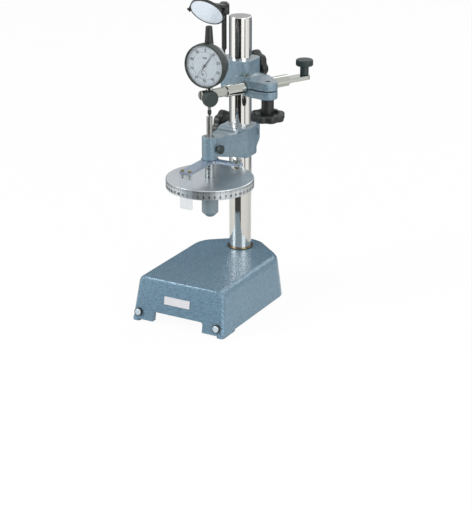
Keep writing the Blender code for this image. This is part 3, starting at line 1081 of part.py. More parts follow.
def make_mirror(carrier):
    """Reading mirror: post on the bracket's ear, arm with a fork, tilting cell and its glass."""
    post = frame("mirror_post_frame", (-UPPER_EAR_X, -POST_ALONG, 0), carrier, (0, 0, TURN))
    turned("mirror_post", [
        (0, POST_TOP), (POST_RADIUS, POST_TOP), (POST_RADIUS, POST_FOOT + POST_CONE),
        (POST_SPIGOT_RADIUS, POST_FOOT), (POST_SPIGOT_RADIUS, UPPER_TOP - POST_SPIGOT), (0, UPPER_TOP - POST_SPIGOT),
    ], BLACKENED, SMALL_STEPS, parent=post)
    spin = Matrix.Rotation(-TURN, 2)
    foot = spin @ Vector((-UPPER_EAR_X, -POST_ALONG))
    pivot = Vector((-foot.x, MIRROR_Y - foot.y, MIRROR_Z))
    head = turned("mirror_arm", [
        (0, HEAD_TOP), (HEAD_RADIUS - HEAD_ROUND, HEAD_TOP), (HEAD_RADIUS, HEAD_TOP - HEAD_ROUND),
        (HEAD_RADIUS, HEAD_FOOT), (0, HEAD_FOOT),
    ], BLACK, MID_STEPS, parent=post)
    tilt = frame("mirror_frame_axis", pivot, post, (pi / 2 + MIRROR_TILT, 0, 0))
    ear_in = CELL_RADIUS + CELL_BOSS + GAP
    ear_out = ear_in + FORK_ARM
    tip = FORK_WIDTH / 2
    bar_near = -FORK_BACK
    bar_far = -FORK_BACK - FORK_BAR
    fork = [
        (-ear_out, tip), (-ear_out, bar_far), (ear_out, bar_far), (ear_out, tip), (ear_in, tip), (ear_in, bar_near),
        (-ear_in, bar_near), (-ear_in, tip),
    ]
    outline = fillet(fork, [0, FORK_WIDTH, FORK_WIDTH, 0, 0, tip, tip, 0], 3)
    fork_tool = prism("mirror_fork", outline, -tip, tip, None, parent=tilt, rotation=LAID_ON_XZ)
    join(head, fork_tool)
    back = Vector((0, cos(MIRROR_TILT), sin(MIRROR_TILT)))
    arm_end = pivot + back * (FORK_BACK + FORK_BAR / 2)
    arm_start = Vector((0, 0, (HEAD_TOP + HEAD_FOOT) / 2 + HEAD_ROUND / 2))
    run = arm_end - arm_start
    aim = run.to_track_quat("Z", "Y").to_euler()
    join(head, bar("mirror_arm_bar", ARM_BAR_RADIUS, 0, run.length, None, SMALL_STEPS, parent=post,
                   location=arm_start, rotation=aim))
    cut(head, bar("post_socket", POST_RADIUS + GAP, HEAD_FOOT - CUT, POST_TOP + GAP, None, SMALL_STEPS, parent=post))

    face = CELL_BOSS_RADIUS
    cell = turned("mirror_cell", [
        (0, face - CELL_RECESS), (GLASS_RADIUS + GAP, face - CELL_RECESS), (GLASS_RADIUS + GAP, face),
        (CELL_RADIUS, face), (CELL_RADIUS, face - CELL_DEPTH), (0, face - CELL_DEPTH),
    ], BLACKENED, BIG_STEPS, parent=tilt)
    cell_boss = CELL_RADIUS + CELL_BOSS
    hole_end = GLASS_RADIUS + 3 * GAP
    for word, facing in (("left", FACING_BACK_X), ("right", FACING_X)):
        place = dict(parent=tilt, rotation=facing)
        join(cell, bar("cell_boss_" + word, CELL_BOSS_RADIUS - GAP, hole_end - GAP, cell_boss, None, TINY_STEPS,
                       **place))
        cut(cell, bar("cell_pivot_hole_" + word, PIVOT_RADIUS + GAP, hole_end, cell_boss + CUT, None, TINY_STEPS,
                      **place))
        cut(head, bar("fork_hole_" + word, PIVOT_RADIUS + GAP, ear_in - GAP, ear_out + CUT, None, TINY_STEPS,
                      **place))
        head_foot = ear_out + GAP
        turned("mirror_pivot_" + word, [
            (0, head_foot + PIVOT_HEAD), (PIVOT_HEAD_RADIUS * PIVOT_CROWN_SHARE, head_foot + PIVOT_HEAD),
            (PIVOT_HEAD_RADIUS, head_foot + PIVOT_HEAD / 2), (PIVOT_HEAD_RADIUS * PIVOT_SEAT_SHARE, head_foot),
            (PIVOT_RADIUS, head_foot), (PIVOT_RADIUS, hole_end + GAP), (0, hole_end + GAP),
        ], BLACKENED, TINY_STEPS, **place)
    bar("mirror_glass", GLASS_RADIUS, face - CELL_RECESS + GAP, face - GAP, SILVERED, BIG_STEPS, parent=tilt)


make_base()
make_base_trim()
lower = make_lower_bracket()
micrometer = make_micrometer(lower)
make_index(micrometer)
upper = make_upper_bracket()
make_holder_rod(upper)
make_indicator()
make_mirror(upper)
bpy.context.view_layer.update()
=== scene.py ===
"""Looks of the dial indicator tester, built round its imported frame. Lengths are in metres."""

from math import asin, atan2, cos, pi, radians, sin, tan

import bpy
import bmesh
import numpy as np
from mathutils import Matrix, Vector


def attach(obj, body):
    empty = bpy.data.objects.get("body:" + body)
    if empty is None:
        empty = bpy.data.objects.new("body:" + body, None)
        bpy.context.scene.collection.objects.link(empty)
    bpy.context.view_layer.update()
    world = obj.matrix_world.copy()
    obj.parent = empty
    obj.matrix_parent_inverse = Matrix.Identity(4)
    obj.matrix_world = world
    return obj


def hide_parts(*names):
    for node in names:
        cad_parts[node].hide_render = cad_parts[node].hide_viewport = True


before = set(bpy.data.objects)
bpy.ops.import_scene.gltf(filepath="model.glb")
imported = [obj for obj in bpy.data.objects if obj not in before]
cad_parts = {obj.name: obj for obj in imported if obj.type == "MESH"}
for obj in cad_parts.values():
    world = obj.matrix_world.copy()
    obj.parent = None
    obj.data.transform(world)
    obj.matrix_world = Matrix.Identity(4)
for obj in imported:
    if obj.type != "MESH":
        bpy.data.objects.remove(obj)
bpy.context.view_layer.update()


# Places and sizes read from the frame

def box_of(node):
    """Low and high corner of one of the frame's solids, to the nearest micrometre."""
    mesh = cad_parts[node].data
    points = np.zeros(len(mesh.vertices) * 3)
    mesh.vertices.foreach_get("co", points)
    points = points.reshape(-1, 3)
    return points.min(0).round(6), points.max(0).round(6)


def middle(node):
    """Centre of a solid's box."""
    low, high = box_of(node)
    return ((low + high) / 2).round(6)


def upright(node):
    """Outer radius, foot and top of a solid that is round about an upright axis."""
    low, high = box_of(node)
    return (high[0] - low[0]) / 2, low[2], high[2]


def ahead(node):
    """Outer radius of a solid round about the dial's axis, and its back and front from the stem's axis."""
    low, high = box_of(node)
    return (high[0] - low[0]) / 2, round(-high[1] - REACH, 6), round(-low[1] - REACH, 6)


REACH = -middle("drum")[1]                     # from the column's axis forward to the micrometer's
MEASURING_AXIS = (0, -REACH, 0)                # the micrometer and the indicator's stem share it
ROD_PASSES = 0.0348                            # distance at which the rod's line passes the column's axis
TURN = asin(ROD_PASSES / REACH)
ALONG = Vector((sin(TURN), cos(TURN), 0))      # along the holder rod, away from the front
ACROSS = Vector((cos(TURN), -sin(TURN), 0))    # out along the upper bracket's arm
UP = Vector((0, 0, 1))
ROD_Z = middle("holder_rod")[2]
DIAL_Z = middle("bezel")[2]
DIAL_FACE = ahead("dial_ring")[2]              # from the stem's axis forward to the printed face
MIRROR = Vector((0, *middle("mirror_pivot_left")[1:]))
MIRROR_TILT = radians(38.5)
GAP = 0.0003                                   # play between pieces that sit one in another
SHORT = 0.0001                                 # a closed profile stops this far short of its start
PRINT = 0.00004                                # thickness of printed marks
FINE = 144                                     # facets round a large turned piece
MEDIUM = 96
SMALL = 48
CREASE = radians(38)                           # edges sharper than this stay sharp on turned pieces
CASTING_CREASE = radians(32)
MACHINED_CREASE = radians(25)


# Shader maths

class Wire:
    """A shader socket that takes arithmetic: each operator adds the Math node that does it."""

    def __init__(self, finish, socket):
        self.finish = finish
        self.socket = socket

    def maths(self, operation, other):
        return self.finish.node("ShaderNodeMath", {"operation": operation}, {0: self, 1: other})

    def __add__(self, other):
        return self.maths("ADD", other)

    def __radd__(self, other):
        return self.maths("ADD", other)

    def __mul__(self, other):
        return self.maths("MULTIPLY", other)

    def __rmul__(self, other):
        return self.maths("MULTIPLY", other)

    def step(self, low, high):
        """Rises smoothly from 0 at low to 1 at high."""
        return self.finish.node("ShaderNodeMapRange", {"interpolation_type": "SMOOTHSTEP"},
                                {"Value": self, "From Min": low, "From Max": high})


class Finish:
    """A procedural material: a Principled shader and the nodes that vary it over the surface."""

    def __init__(self, name, colour, roughness, metallic=0.0, coat=0.0, coat_roughness=0.1):
        self.material = bpy.data.materials.new(name)
        self.material.use_nodes = True
        self.tree = self.material.node_tree
        self.shader = self.tree.nodes["Principled BSDF"]
        self.colour = (*colour, 1.0)
        self.put({
            "Base Color": self.colour,
            "Roughness": roughness,
            "Metallic": metallic,
            "Coat Weight": coat,
            "Coat Roughness": coat_roughness,
        })

    def link(self, socket, value):
        """Wire a value to a socket, or set the socket to it."""
        if isinstance(value, Wire):
            self.tree.links.new(value.socket, socket)
        else:
            socket.default_value = value

    def put(self, values):
        """Set or link sockets of the Principled shader."""
        for name, value in values.items():
            self.link(self.shader.inputs[name], value)

    def node(self, kind, settings=None, values=None, output=0):
        """Add any node: its settings come first, then the values or links of its sockets."""
        node = self.tree.nodes.new(kind)
        for name, value in (settings or {}).items():
            setattr(node, name, value)
        for name, value in (values or {}).items():
            self.link(node.inputs[name], value)
        return Wire(self, node.outputs[output])

    def place(self, scale=(1, 1, 1), centre=(0, 0, 0)):
        """Object coordinates about a centre, stretched along each axis."""
        here = self.node("ShaderNodeTexCoord", output="Object")
        moved = self.node("ShaderNodeVectorMath", {"operation": "SUBTRACT"}, {0: here, 1: centre})
        return self.node("ShaderNodeVectorMath", {"operation": "MULTIPLY"}, {0: moved, 1: scale})

    def noise(self, scale, where=None, detail=3.0):
        """Soft random cloud with about this many swells in a metre."""
        return self.node("ShaderNodeTexNoise", {}, {"Vector": where or self.place(), "Scale": scale,
                                                    "Detail": detail, "Roughness": 0.55})

    def cells(self, scale, smoothness, where=None):
        """Distance to the nearest of scattered points, about this many in a metre, with soft borders."""
        return self.node("ShaderNodeTexVoronoi", {"feature": "SMOOTH_F1"},
                         {"Vector": where or self.place(), "Scale": scale, "Smoothness": smoothness})

    def mix(self, share, first, second):
        """Blend two colours."""
        return self.node("ShaderNodeMix", {"data_type": "RGBA"}, {"Factor": share, 6: first, 7: second}, 2)

    def tint(self, share, factor):
        """The base colour, lightened or darkened by a factor where share is 1."""
        other = (*[min(1.0, part * factor) for part in self.colour[:3]], 1.0)
        return self.mix(share, self.colour, other)

    def bump(self, height, distance, strength, under=None):
        """Relief of a height that runs from 0 to 1 over a distance, on top of other normals."""
        values = {"Height": height, "Distance": distance, "Strength": strength}
        if under is not None:
            values["Normal"] = under
        return self.node("ShaderNodeBump", {}, values)

    def soft_edges(self, radius):
        """Normals rounded over every edge, as on a casting or a moulding."""
        return self.node("ShaderNodeBevel", {"samples": 6}, {"Radius": radius})


# Finishes

def hammered(name, colour, coat=0.15, roughness=0.15):
    """Hammered enamel: small rounded dimples over larger ones, clouded colour and a glossy skin."""
    finish = Finish(name, colour, roughness, metallic=0.22, coat=coat, coat_roughness=0.14)
    dimples = finish.cells(scale=620, smoothness=0.7)
    larger = finish.cells(scale=330, smoothness=0.8, where=finish.place(centre=(0.013, 0.007, 0.003)))
    cloud = finish.noise(scale=240)
    raised = dimples.step(0.2, 0.6)
    darker, lighter = finish.tint(raised, 0.86), finish.tint(raised, 1.18)
    finish.put({
        "Base Color": finish.mix(cloud.step(0.3, 0.7), darker, lighter),
        "Roughness": finish.noise(scale=400) * 0.15 + roughness,
        "Normal": finish.bump(dimples * 0.7 + larger * 0.4, distance=0.0009, strength=0.6,
                              under=finish.soft_edges(0.0009)),
    })
    return finish


def polished(name, colour, roughness=0.05):
    """Hard chrome: near mirror, with faint lapping marks along Z and smears."""
    finish = Finish(name, colour, roughness, metallic=1.0)
    lapping = finish.noise(scale=900, where=finish.place((1, 1, 0.06)), detail=2)
    smear = finish.noise(scale=35)
    finish.put({
        "Roughness": smear.step(0.35, 0.75) * 0.05 + lapping * 0.035 + roughness,
        "Normal": finish.bump(finish.noise(scale=120, detail=1), distance=0.00002, strength=0.25),
    })
    return finish


def ground(name, colour, roughness=0.28, stretch=(0.02, 0.02, 1)):
    """Ground or turned steel: fine lines that run round the piece, across the axis left unstretched."""
    finish = Finish(name, colour, roughness, metallic=1.0)
    scores = finish.noise(scale=5200, where=finish.place(stretch), detail=2)
    stain = finish.noise(scale=160, detail=4)
    finish.put({
        "Base Color": finish.tint(stain.step(0.45, 0.8), 0.86),
        "Roughness": scores * 0.14 + stain * 0.08 + (roughness - 0.1),
        "Normal": finish.bump(scores, distance=0.00004, strength=0.35),
    })
    return finish


def spun(name, colour, roughness=0.3):
    """Satin metal turned on a lathe: fine rings about the micrometer's axis.

    The rings follow the distance from the axis plus the height, so they run on over the rim.
    """
    finish = Finish(name, colour, roughness, metallic=0.85)
    flat = finish.place((1, 1, 0), MEASURING_AXIS)
    radius = finish.node("ShaderNodeVectorMath", {"operation": "LENGTH"}, {0: flat}, "Value")
    height = finish.node("ShaderNodeSeparateXYZ", {}, {0: finish.place()}, "Z")
    rings = finish.node("ShaderNodeTexNoise", {"noise_dimensions": "1D"},
                        {"W": radius + height, "Scale": 4200, "Detail": 2})
    cloud = finish.noise(scale=60, detail=4)
    finish.put({
        "Base Color": finish.tint(cloud.step(0.4, 0.75), 0.93),
        "Roughness": rings * 0.12 + cloud * 0.1 + (roughness - 0.1),
        "Normal": finish.bump(rings, distance=0.00003, strength=0.3, under=finish.soft_edges(0.0003)),
    })
    return finish


def moulded(name, colour, roughness=0.42):
    """Moulded plastic: a fine even grain, scuffed a little lighter in places."""
    finish = Finish(name, colour, roughness, coat=0.05, coat_roughness=0.25)
    grain = finish.noise(scale=1700, detail=2)
    scuff = finish.noise(scale=130, detail=5)
    finish.put({
        "Base Color": finish.tint(scuff.step(0.5, 0.85), 1.7),
        "Roughness": grain * 0.12 + scuff * 0.12 + (roughness - 0.12),
        "Normal": finish.bump(grain, distance=0.00005, strength=0.4, under=finish.soft_edges(0.0006)),
    })
    return finish


def enamelled(name, colour, roughness):
    """Smooth enamel with a slight orange peel."""
    finish = Finish(name, colour, roughness, coat=0.2, coat_roughness=0.15)
    peel = finish.noise(scale=900, detail=2)
    cloud = finish.noise(scale=90, detail=4)
    finish.put({
        "Base Color": finish.tint(cloud.step(0.4, 0.75), 0.9),
        "Roughness": cloud * 0.12 + (roughness - 0.06),
        "Normal": finish.bump(peel, distance=0.00006, strength=0.4, under=finish.soft_edges(0.0004)),
    })
    return finish


def turned_brass(name, colour):
    """Brass from the lathe, with tarnish in clouds."""
    finish = Finish(name, colour, roughness=0.3, metallic=1.0)
    scores = finish.noise(scale=3800, where=finish.place((0.03, 0.03, 1)), detail=2)
    tarnish = finish.noise(scale=420, detail=4)
    finish.put({
        "Base Color": finish.tint(tarnish.step(0.45, 0.8), 0.62),
        "Roughness": tarnish * 0.25 + scores * 0.1 + 0.12,
        "Normal": finish.bump(scores, distance=0.00004, strength=0.4, under=finish.soft_edges(0.0003)),
    })
    return finish


def card_stock(name, colour, roughness=0.55):
    """Pale lacquered face with a very faint mottle."""
    finish = Finish(name, colour, roughness, coat=0.1, coat_roughness=0.3)
    mottle = finish.noise(scale=700)
    finish.put({
        "Base Color": finish.tint(mottle.step(0.4, 0.8), 0.965),
        "Roughness": mottle * 0.1 + (roughness - 0.05),
    })
    return finish


def ink(name, colour):
    """Printing ink, worn a little lighter in spots."""
    finish = Finish(name, colour, roughness=0.5)
    wear = finish.noise(scale=1500)
    finish.put({"Base Color": finish.tint(wear.step(0.5, 0.9), 1.5)})
    return finish


def clear(name, colour, body, edge_share):
    """Clear sheet: nearly open where it is looked through, and denser where it is seen edge on."""
    finish = Finish(name, colour, roughness=0.04)
    facing = finish.node("ShaderNodeLayerWeight", {}, {"Blend": 0.25}, "Facing")
    dust = finish.noise(scale=260, detail=4)
    finish.put({
        "Alpha": facing.step(0.35, 1.0) * edge_share + dust * 0.05 + body,
        "Roughness": dust * 0.05 + 0.04,
    })
    finish.material.surface_render_method = "BLENDED"
    return finish


def silvered(name, colour):
    """Mirror glass made mostly matt: its pale colour is a painted reflection of the bright room, under a
    faint mottle of dust.
    """
    finish = Finish(name, colour, roughness=0.3, metallic=0.2)
    dust = finish.noise(scale=300, detail=5)
    finish.put({
        "Base Color": finish.tint(dust.step(0.5, 0.9), 0.96),
        "Roughness": dust.step(0.4, 0.9) * 0.08 + 0.3,
    })
    return finish


ALONG_Y = (0.02, 1, 0.02)
HAMMER = hammered("hammered_enamel", (0.136, 0.232, 0.308))
ARMS = hammered("hammered_arms", (0.158, 0.240, 0.296), coat=0.6, roughness=0.26)
CHROME = polished("hard_chrome", (0.75, 0.745, 0.72))
ROD_CHROME = polished("rod_chrome", (0.51, 0.525, 0.49))
STEEL = ground("ground_steel", (0.35, 0.36, 0.345))
BAR_END = ground("ground_bar_end", (0.38, 0.38, 0.375))
BARREL = ground("satin_barrel", (0.32, 0.35, 0.355), roughness=0.42)
INDEX = ground("satin_index_plate", (0.37, 0.44, 0.53), roughness=0.42, stretch=ALONG_Y)
CASE = ground("satin_case", (0.20, 0.21, 0.21), roughness=0.40, stretch=ALONG_Y)
DRUM = spun("spun_drum", (0.60, 0.645, 0.67))
BLACK = moulded("black_moulding", (0.009, 0.012, 0.011))
THUMB = moulded("thumb_screw_moulding", (0.012, 0.025, 0.025), roughness=0.48)
BLACKENED = enamelled("black_enamel", (0.020, 0.022, 0.022), roughness=0.35)
BEZEL = enamelled("bezel_enamel", (0.012, 0.023, 0.019), roughness=0.58)
GREY = enamelled("grey_enamel", (0.185, 0.240, 0.270), roughness=0.4)
PLUG = enamelled("pale_plug", (0.44, 0.52, 0.58), roughness=0.25)
BRASS = turned_brass("turned_brass", (0.34, 0.28, 0.15))
PALE_BRASS = turned_brass("pale_brass", (0.50, 0.50, 0.34))
DULL_BRASS = turned_brass("dull_brass", (0.17, 0.135, 0.075))
PLATE = card_stock("bare_plate", (0.60, 0.60, 0.63), roughness=0.4)
DIAL = card_stock("dial_face", (0.37, 0.425, 0.47))
INK = ink("black_ink", (0.012, 0.012, 0.014))
CLEAR = clear("clear_acrylic", (0.36, 0.42, 0.46), body=0.20, edge_share=0.50)
CRYSTAL = clear("crystal", (0.90, 0.93, 0.96), body=0.015, edge_share=0.4)
# pale colour of the mirror: a painted reflection of the bright room
SILVER = silvered("mirror_silver", (0.73, 0.81, 0.89))


# Surfaces

def finished(name, mesh, body, finish, replaces=()):
    """Make a mesh a piece that rides on a body and finish."""
    mesh.materials.clear()
    mesh.materials.append(finish.material)
    piece = bpy.data.objects.new(name, mesh)
    bpy.context.scene.collection.objects.link(piece)
    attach(piece, body)
    if replaces:
        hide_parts(*replaces)
    return piece


def kept_flat(piece):
    """Let the large faces rule the shading at their corners, so that long flats and bars shade true."""
    shading = piece.modifiers.new("large_faces_first", "WEIGHTED_NORMAL")
    shading.mode = "FACE_AREA"
    shading.keep_sharp = True
    return piece


def skinned(name, points, close_rows=False):
    """Mesh of a grid of points, rows by columns, whose columns close on themselves.

    Cell (i, j) is the quad between rows i and i + 1 and columns j and j + 1.
    """
    rows, columns = points.shape[:2]
    i, j = np.meshgrid(np.arange(rows if close_rows else rows - 1), np.arange(columns), indexing="ij")
    below, beside = (i + 1) % rows, (j + 1) % columns
    corners = (i, j), (i, beside), (below, beside), (below, j)
    quads = np.stack([row * columns + column for row, column in corners], -1)
    mesh = bpy.data.meshes.new(name)
    mesh.from_pydata(points.reshape(-1, 3), [], quads.reshape(-1, 4).tolist())
    solid = bmesh.new()
    solid.from_mesh(mesh)
    bmesh.ops.remove_doubles(solid, verts=solid.verts, dist=1e-7)
    bmesh.ops.dissolve_degenerate(solid, edges=solid.edges, dist=1e-8)
    bmesh.ops.recalc_face_normals(solid, faces=solid.faces)
    solid.to_mesh(mesh)
    solid.free()
    mesh.shade_smooth()
    mesh.set_sharp_from_angle(angle=CREASE)
    return mesh


def placed(points, origin, axis, up):
    """Points of a piece drawn about local Z, moved so that Z lies on an axis and Y leans towards up."""
    z = np.array(Vector(axis).normalized())
    y = np.array(up, float)
    y = y - z * (y @ z)
    y /= np.linalg.norm(y)
    x = np.cross(y, z)
    return points[..., :1] * x + points[..., 1:2] * y + points[..., 2:3] * z + np.array(origin, float)


def turned_points(profile, steps, wobble):
    """Profile (radius, height) carried round local Z: point (r cos a, r sin a, h).

    A wobble adds its value at angle a, times each profile point's third number, to the radius.
    """
    table = np.array([(*row, 0)[:3] for row in profile], float)
    angle = np.linspace(0, 2 * pi, steps, endpoint=False)
    radius = table[:, :1] + (table[:, 2:3] * wobble(angle) if wobble else 0)
    height = np.repeat(table[:, 1:2], steps, 1)
    return np.stack([radius * np.cos(angle), radius * np.sin(angle), height], -1)


def bar(radius, foot, top):
    """Profile of a plain round bar."""
    return [(0, top), (radius, top), (radius, foot), (0, foot)]


def tube(bore, radius, foot, top):
    """Profile round the wall of a tube."""
    return [(bore, top), (radius, top), (radius, foot), (bore, foot), (bore, top - SHORT)]


def eased(corners, size=0.0003, steps=2):
    """Round each inner corner of an open (radius, height) profile by a quadratic curve.

    The curve starts and ends at the given size from its corner, or near the middle of a shorter side.
    A list of sizes gives each corner its own.
    """
    points = np.array([corner[:2] for corner in corners], float)
    extra = np.array([(*corner, 0)[2] for corner in corners], float)
    out = [(*points[0], extra[0])]
    for index in range(1, len(points) - 1):
        wanted = size[index] if hasattr(size, "__len__") else size
        here = points[index]
        before, after = points[index - 1] - here, points[index + 1] - here
        lengths = np.linalg.norm(before), np.linalg.norm(after)
        reach = min(wanted, lengths[0] * 0.49, lengths[1] * 0.49)
        if reach < 1e-6:
            out.append((*here, extra[index]))
            continue
        start, end = here + before / lengths[0] * reach, here + after / lengths[1] * reach
        for t in np.linspace(0, 1, steps + 1):
            spot = (1 - t) ** 2 * start + 2 * t * (1 - t) * here + t ** 2 * end
            out.append((*spot, extra[index]))
    out.append((*points[-1], extra[-1]))
    return out


def turned(node, name, profile, body, finish, origin=(0, 0, 0), axis=(0, 0, 1), steps=MEDIUM,
           wobble=None, ring=False):
    """A turned piece in place of the frame's solid: its profile carried round an axis.

    A ring's profile closes on itself.
    """
    up = (0, 0, 1) if abs(axis[2]) < 0.9 else (0, 1, 0)
    points = placed(turned_points(profile, steps, wobble), origin, axis, up)
    return kept_flat(finished(name, skinned(name, points, ring), body, finish, (node,)))


def carried(node, name, body, finish, crease=radians(30)):
    """The frame's own solid, its flat faces made whole, and shaded smooth with large faces kept flat."""
    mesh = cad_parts[node].data.copy()
    mesh.name = name
    solid = bmesh.new()
    solid.from_mesh(mesh)
    bmesh.ops.remove_doubles(solid, verts=solid.verts, dist=2e-6)
    bmesh.ops.dissolve_degenerate(solid, edges=solid.edges, dist=1e-7)
    bmesh.ops.dissolve_limit(solid, angle_limit=radians(0.3), verts=solid.verts, edges=solid.edges)
    solid.to_mesh(mesh)
    solid.free()
    for layer in [layer.name for layer in mesh.uv_layers]:
        mesh.uv_layers.remove(mesh.uv_layers[layer])
    mesh.shade_smooth()
    mesh.set_sharp_from_angle(angle=crease)
    return kept_flat(finished(name, mesh, body, finish, (node,)))


def knurl(teeth, depth, sharpness=1.0):
    """Teeth cut round a rim: at angle a the radius changes by -depth * |cos(teeth * a / 2)| ** sharpness."""
    return lambda angle: -depth * np.abs(np.cos(angle * teeth / 2)) ** sharpness


# Printed marks

def gathered(name, parts, body):
    """One mesh of many flat marks in ink, each given as (points, faces)."""
    points, faces, start = [], [], 0
    for spots, cells in parts:
        points.append(spots)
        faces += [[start + corner for corner in cell] for cell in cells]
        start += len(spots)
    mesh = bpy.data.meshes.new(name)
    mesh.from_pydata(np.concatenate(points), [], faces)
    return finished(name, mesh, body, INK)


def strokes(starts, ends, widths):
    """Flat lines in a plane, each a quad of its own width from start to end."""
    starts, ends = np.array(starts, float), np.array(ends, float)
    widths = np.broadcast_to(np.array(widths, float), len(starts))
    along = ends - starts
    along /= np.linalg.norm(along, axis=1)[:, None]
    side = np.stack([-along[:, 1], along[:, 0]], 1) * widths[:, None] / 2
    quads = np.stack([starts - side, ends - side, ends + side, starts + side], 1)
    return quads.reshape(-1, 2), np.arange(len(starts) * 4).reshape(-1, 4).tolist()


def graded(count, tens, fives, rest):
    """One value for each line of a scale: for its tens, for its fives and for the rest."""
    return np.where(count % 10 == 0, tens, np.where(count % 5 == 0, fives, rest))


def spokes(count, turn=0.0):
    """Directions (across, up) of evenly spaced lines round a dial, clockwise from the top."""
    angles = pi / 2 - np.arange(count) * 2 * pi / count - turn
    return np.stack([np.cos(angles), np.sin(angles)], 1)


def figure(words, height, weight=0.012):
    """Points and faces of generic figures, centred on zero and thickened by a share of their height."""
    curve = bpy.data.curves.new("figures", "FONT")
    curve.body = words
    curve.size = height
    curve.align_x = "CENTER"
    curve.align_y = "CENTER"
    curve.resolution_u = 3
    curve.offset = height * weight
    guide = bpy.data.objects.new("figures", curve)
    bpy.context.scene.collection.objects.link(guide)
    bpy.context.view_layer.update()
    mesh = bpy.data.meshes.new_from_object(guide.evaluated_get(bpy.context.evaluated_depsgraph_get()))
    points = np.zeros(len(mesh.vertices) * 3)
    mesh.vertices.foreach_get("co", points)
    faces = [list(cell.vertices) for cell in mesh.polygons]
    bpy.data.objects.remove(guide)
    bpy.data.meshes.remove(mesh)
    return points.reshape(-1, 3)[:, :2], faces


def on_dial(mark, move=(0, 0)):
    """A flat mark (across, up) moved and printed on the dial, which looks along -Y."""
    points, cells = mark
    points = points + np.array(move)
    depth = np.full(len(points), -REACH - DIAL_FACE - PRINT)
    return np.stack([points[:, 0], depth, points[:, 1] + DIAL_Z], 1), cells


def on_drum(mark, radius, level, move=(0, 0)):
    """A flat mark (along the rim, up) moved and wrapped round the micrometer's axis, from the front on."""
    points, cells = mark
    points = points + np.array(move)
    angle = points[:, 0] / radius - pi / 2
    x, y = radius * np.cos(angle), radius * np.sin(angle) - REACH
    return np.stack([x, y, points[:, 1] + level], 1), cells


# Base
FRONT_FOOT = 0.1632                            # from the column's axis forward to the front face's foot
FRONT_EDGE = 0.1536                            # and to the same face's upper edge
FRONT_EDGE_Z = 0.0547
PLUG_X = 0.0560
PLUG_Z = 0.0122
PLUG_RADIUS = 0.0054
PLUG_RIM = 0.0036                              # the plug's side, a black ring of painted shadow, ends this far in front of the base's face
front_lean = atan2(FRONT_FOOT - FRONT_EDGE, FRONT_EDGE_Z)
plug_axis = (0, -cos(front_lean), sin(front_lean))
# The plug's side is a black ring: painted shadow in the gap round the pale cap.
plug_shadow_ring = eased([
    (PLUG_RADIUS - 0.0008, GAP), (PLUG_RADIUS, GAP), (PLUG_RADIUS - 0.0003, PLUG_RIM),
    (PLUG_RADIUS - 0.0011, PLUG_RIM), (PLUG_RADIUS - 0.0008, GAP + SHORT),
])
plug_cap = eased([
    (0, PLUG_RIM + 0.0009), (PLUG_RADIUS - 0.0028, PLUG_RIM + 0.0007), (PLUG_RADIUS - 0.0010, PLUG_RIM),
    (PLUG_RADIUS - 0.0012, PLUG_RIM - 0.0014), (0, PLUG_RIM - 0.0014),
], size=0.0008, steps=3)
carried("base", "casting", "stand", HAMMER, CASTING_CREASE)
for side, way in (("left", -1), ("right", 1)):
    seat = (way * PLUG_X, PLUG_Z * tan(front_lean) - FRONT_FOOT, PLUG_Z)
    plug = "leg_plug_" + side
    # black side ring: painted shadow round the pale cap
    turned(plug, "plug_shadow_ring_" + side, plug_shadow_ring, "stand", BLACK, seat, plug_axis,
           steps=SMALL, ring=True)
    turned(plug, "plug_cap_" + side, plug_cap, "stand", PLUG, seat, plug_axis, steps=SMALL)
carried("name_plate", "plate", "stand", PLATE)


# Column and collar
BAR_END_RIM = 0.0011                           # width of the rim round the ground disc on the column's end
BAR_END_DEPTH = 0.0006
COLLAR_TAPER = 0.0001
column_radius, column_foot, column_top = upright("column")
collar_radius, collar_foot, collar_top = upright("column_collar")
collar_bore = column_radius + GAP
turned("column", "bar_column", eased(bar(column_radius, column_foot, column_top), size=0.0010, steps=3),
       "stand", CHROME, steps=FINE)
turned("column", "bar_end", bar(column_radius - BAR_END_RIM, column_top - BAR_END_DEPTH, column_top + PRINT),
       "stand", BAR_END, steps=FINE)
turned("column_collar", "foot_collar", eased([
    (collar_bore, collar_foot + SHORT), (collar_bore, collar_top), (collar_radius - COLLAR_TAPER, collar_top),
    (collar_radius, collar_foot), (collar_bore, collar_foot),
], size=0.0005), "stand", DULL_BRASS, ring=True)
carried("column_set_screw", "rear_set_screw", "stand", STEEL)


# Star knobs and their studs
LOBES = 8
STAR_RADIUS = 0.0218
STAR_VALLEY = 0.0024                           # depth of the valleys between the lobes
STAR_THICKNESS = 0.0095
NECK = 0.0180
NECK_RADIUS = 0.0078
HOLLOW = 0.0036                                # depth of the hollow round the neck
HOLLOW_FLOOR_RADIUS = 0.0115
HOLLOW_MOUTH_RADIUS = 0.0150
DISH = 0.0007                                  # depth of the dish in the outer face
DISH_FLOOR_RADIUS = 0.0105
DISH_MOUTH_RADIUS = 0.0120
STUD_HOLE = 0.0033


def lobes(angle):
    """Change of the star's radius at angle a: -STAR_VALLEY * (0.5 - 0.5 * cos(LOBES * a)) ** 1.4."""
    return -STAR_VALLEY * (0.5 - 0.5 * np.cos(LOBES * angle)) ** 1.4


def star_knob(node, name, body, origin, axis, seat):
    """Lobed knob whose neck ends at a seat, counted from the origin along the axis; the neck stays round."""
    rim = seat + NECK
    face = rim + STAR_THICKNESS
    rows = eased([
        (STUD_HOLE, seat, 0), (NECK_RADIUS, seat, 0), (NECK_RADIUS, rim + HOLLOW, 0),
        (HOLLOW_FLOOR_RADIUS, rim + HOLLOW, 0), (HOLLOW_MOUTH_RADIUS, rim + 0.0002, 0.1),
        (STAR_RADIUS, rim, 1), (STAR_RADIUS, face, 1),
        (DISH_MOUTH_RADIUS, face, 0.3), (DISH_FLOOR_RADIUS, face - DISH, 0), (0, face - DISH, 0),
    ], size=[0, 0.0008, 0.002, 0.002, 0.0008, 0.0024, 0.0026, 0.0008, 0.0006, 0], steps=4)
    turned(node, name, rows, body, BLACK, origin, axis, steps=192, wobble=lobes)


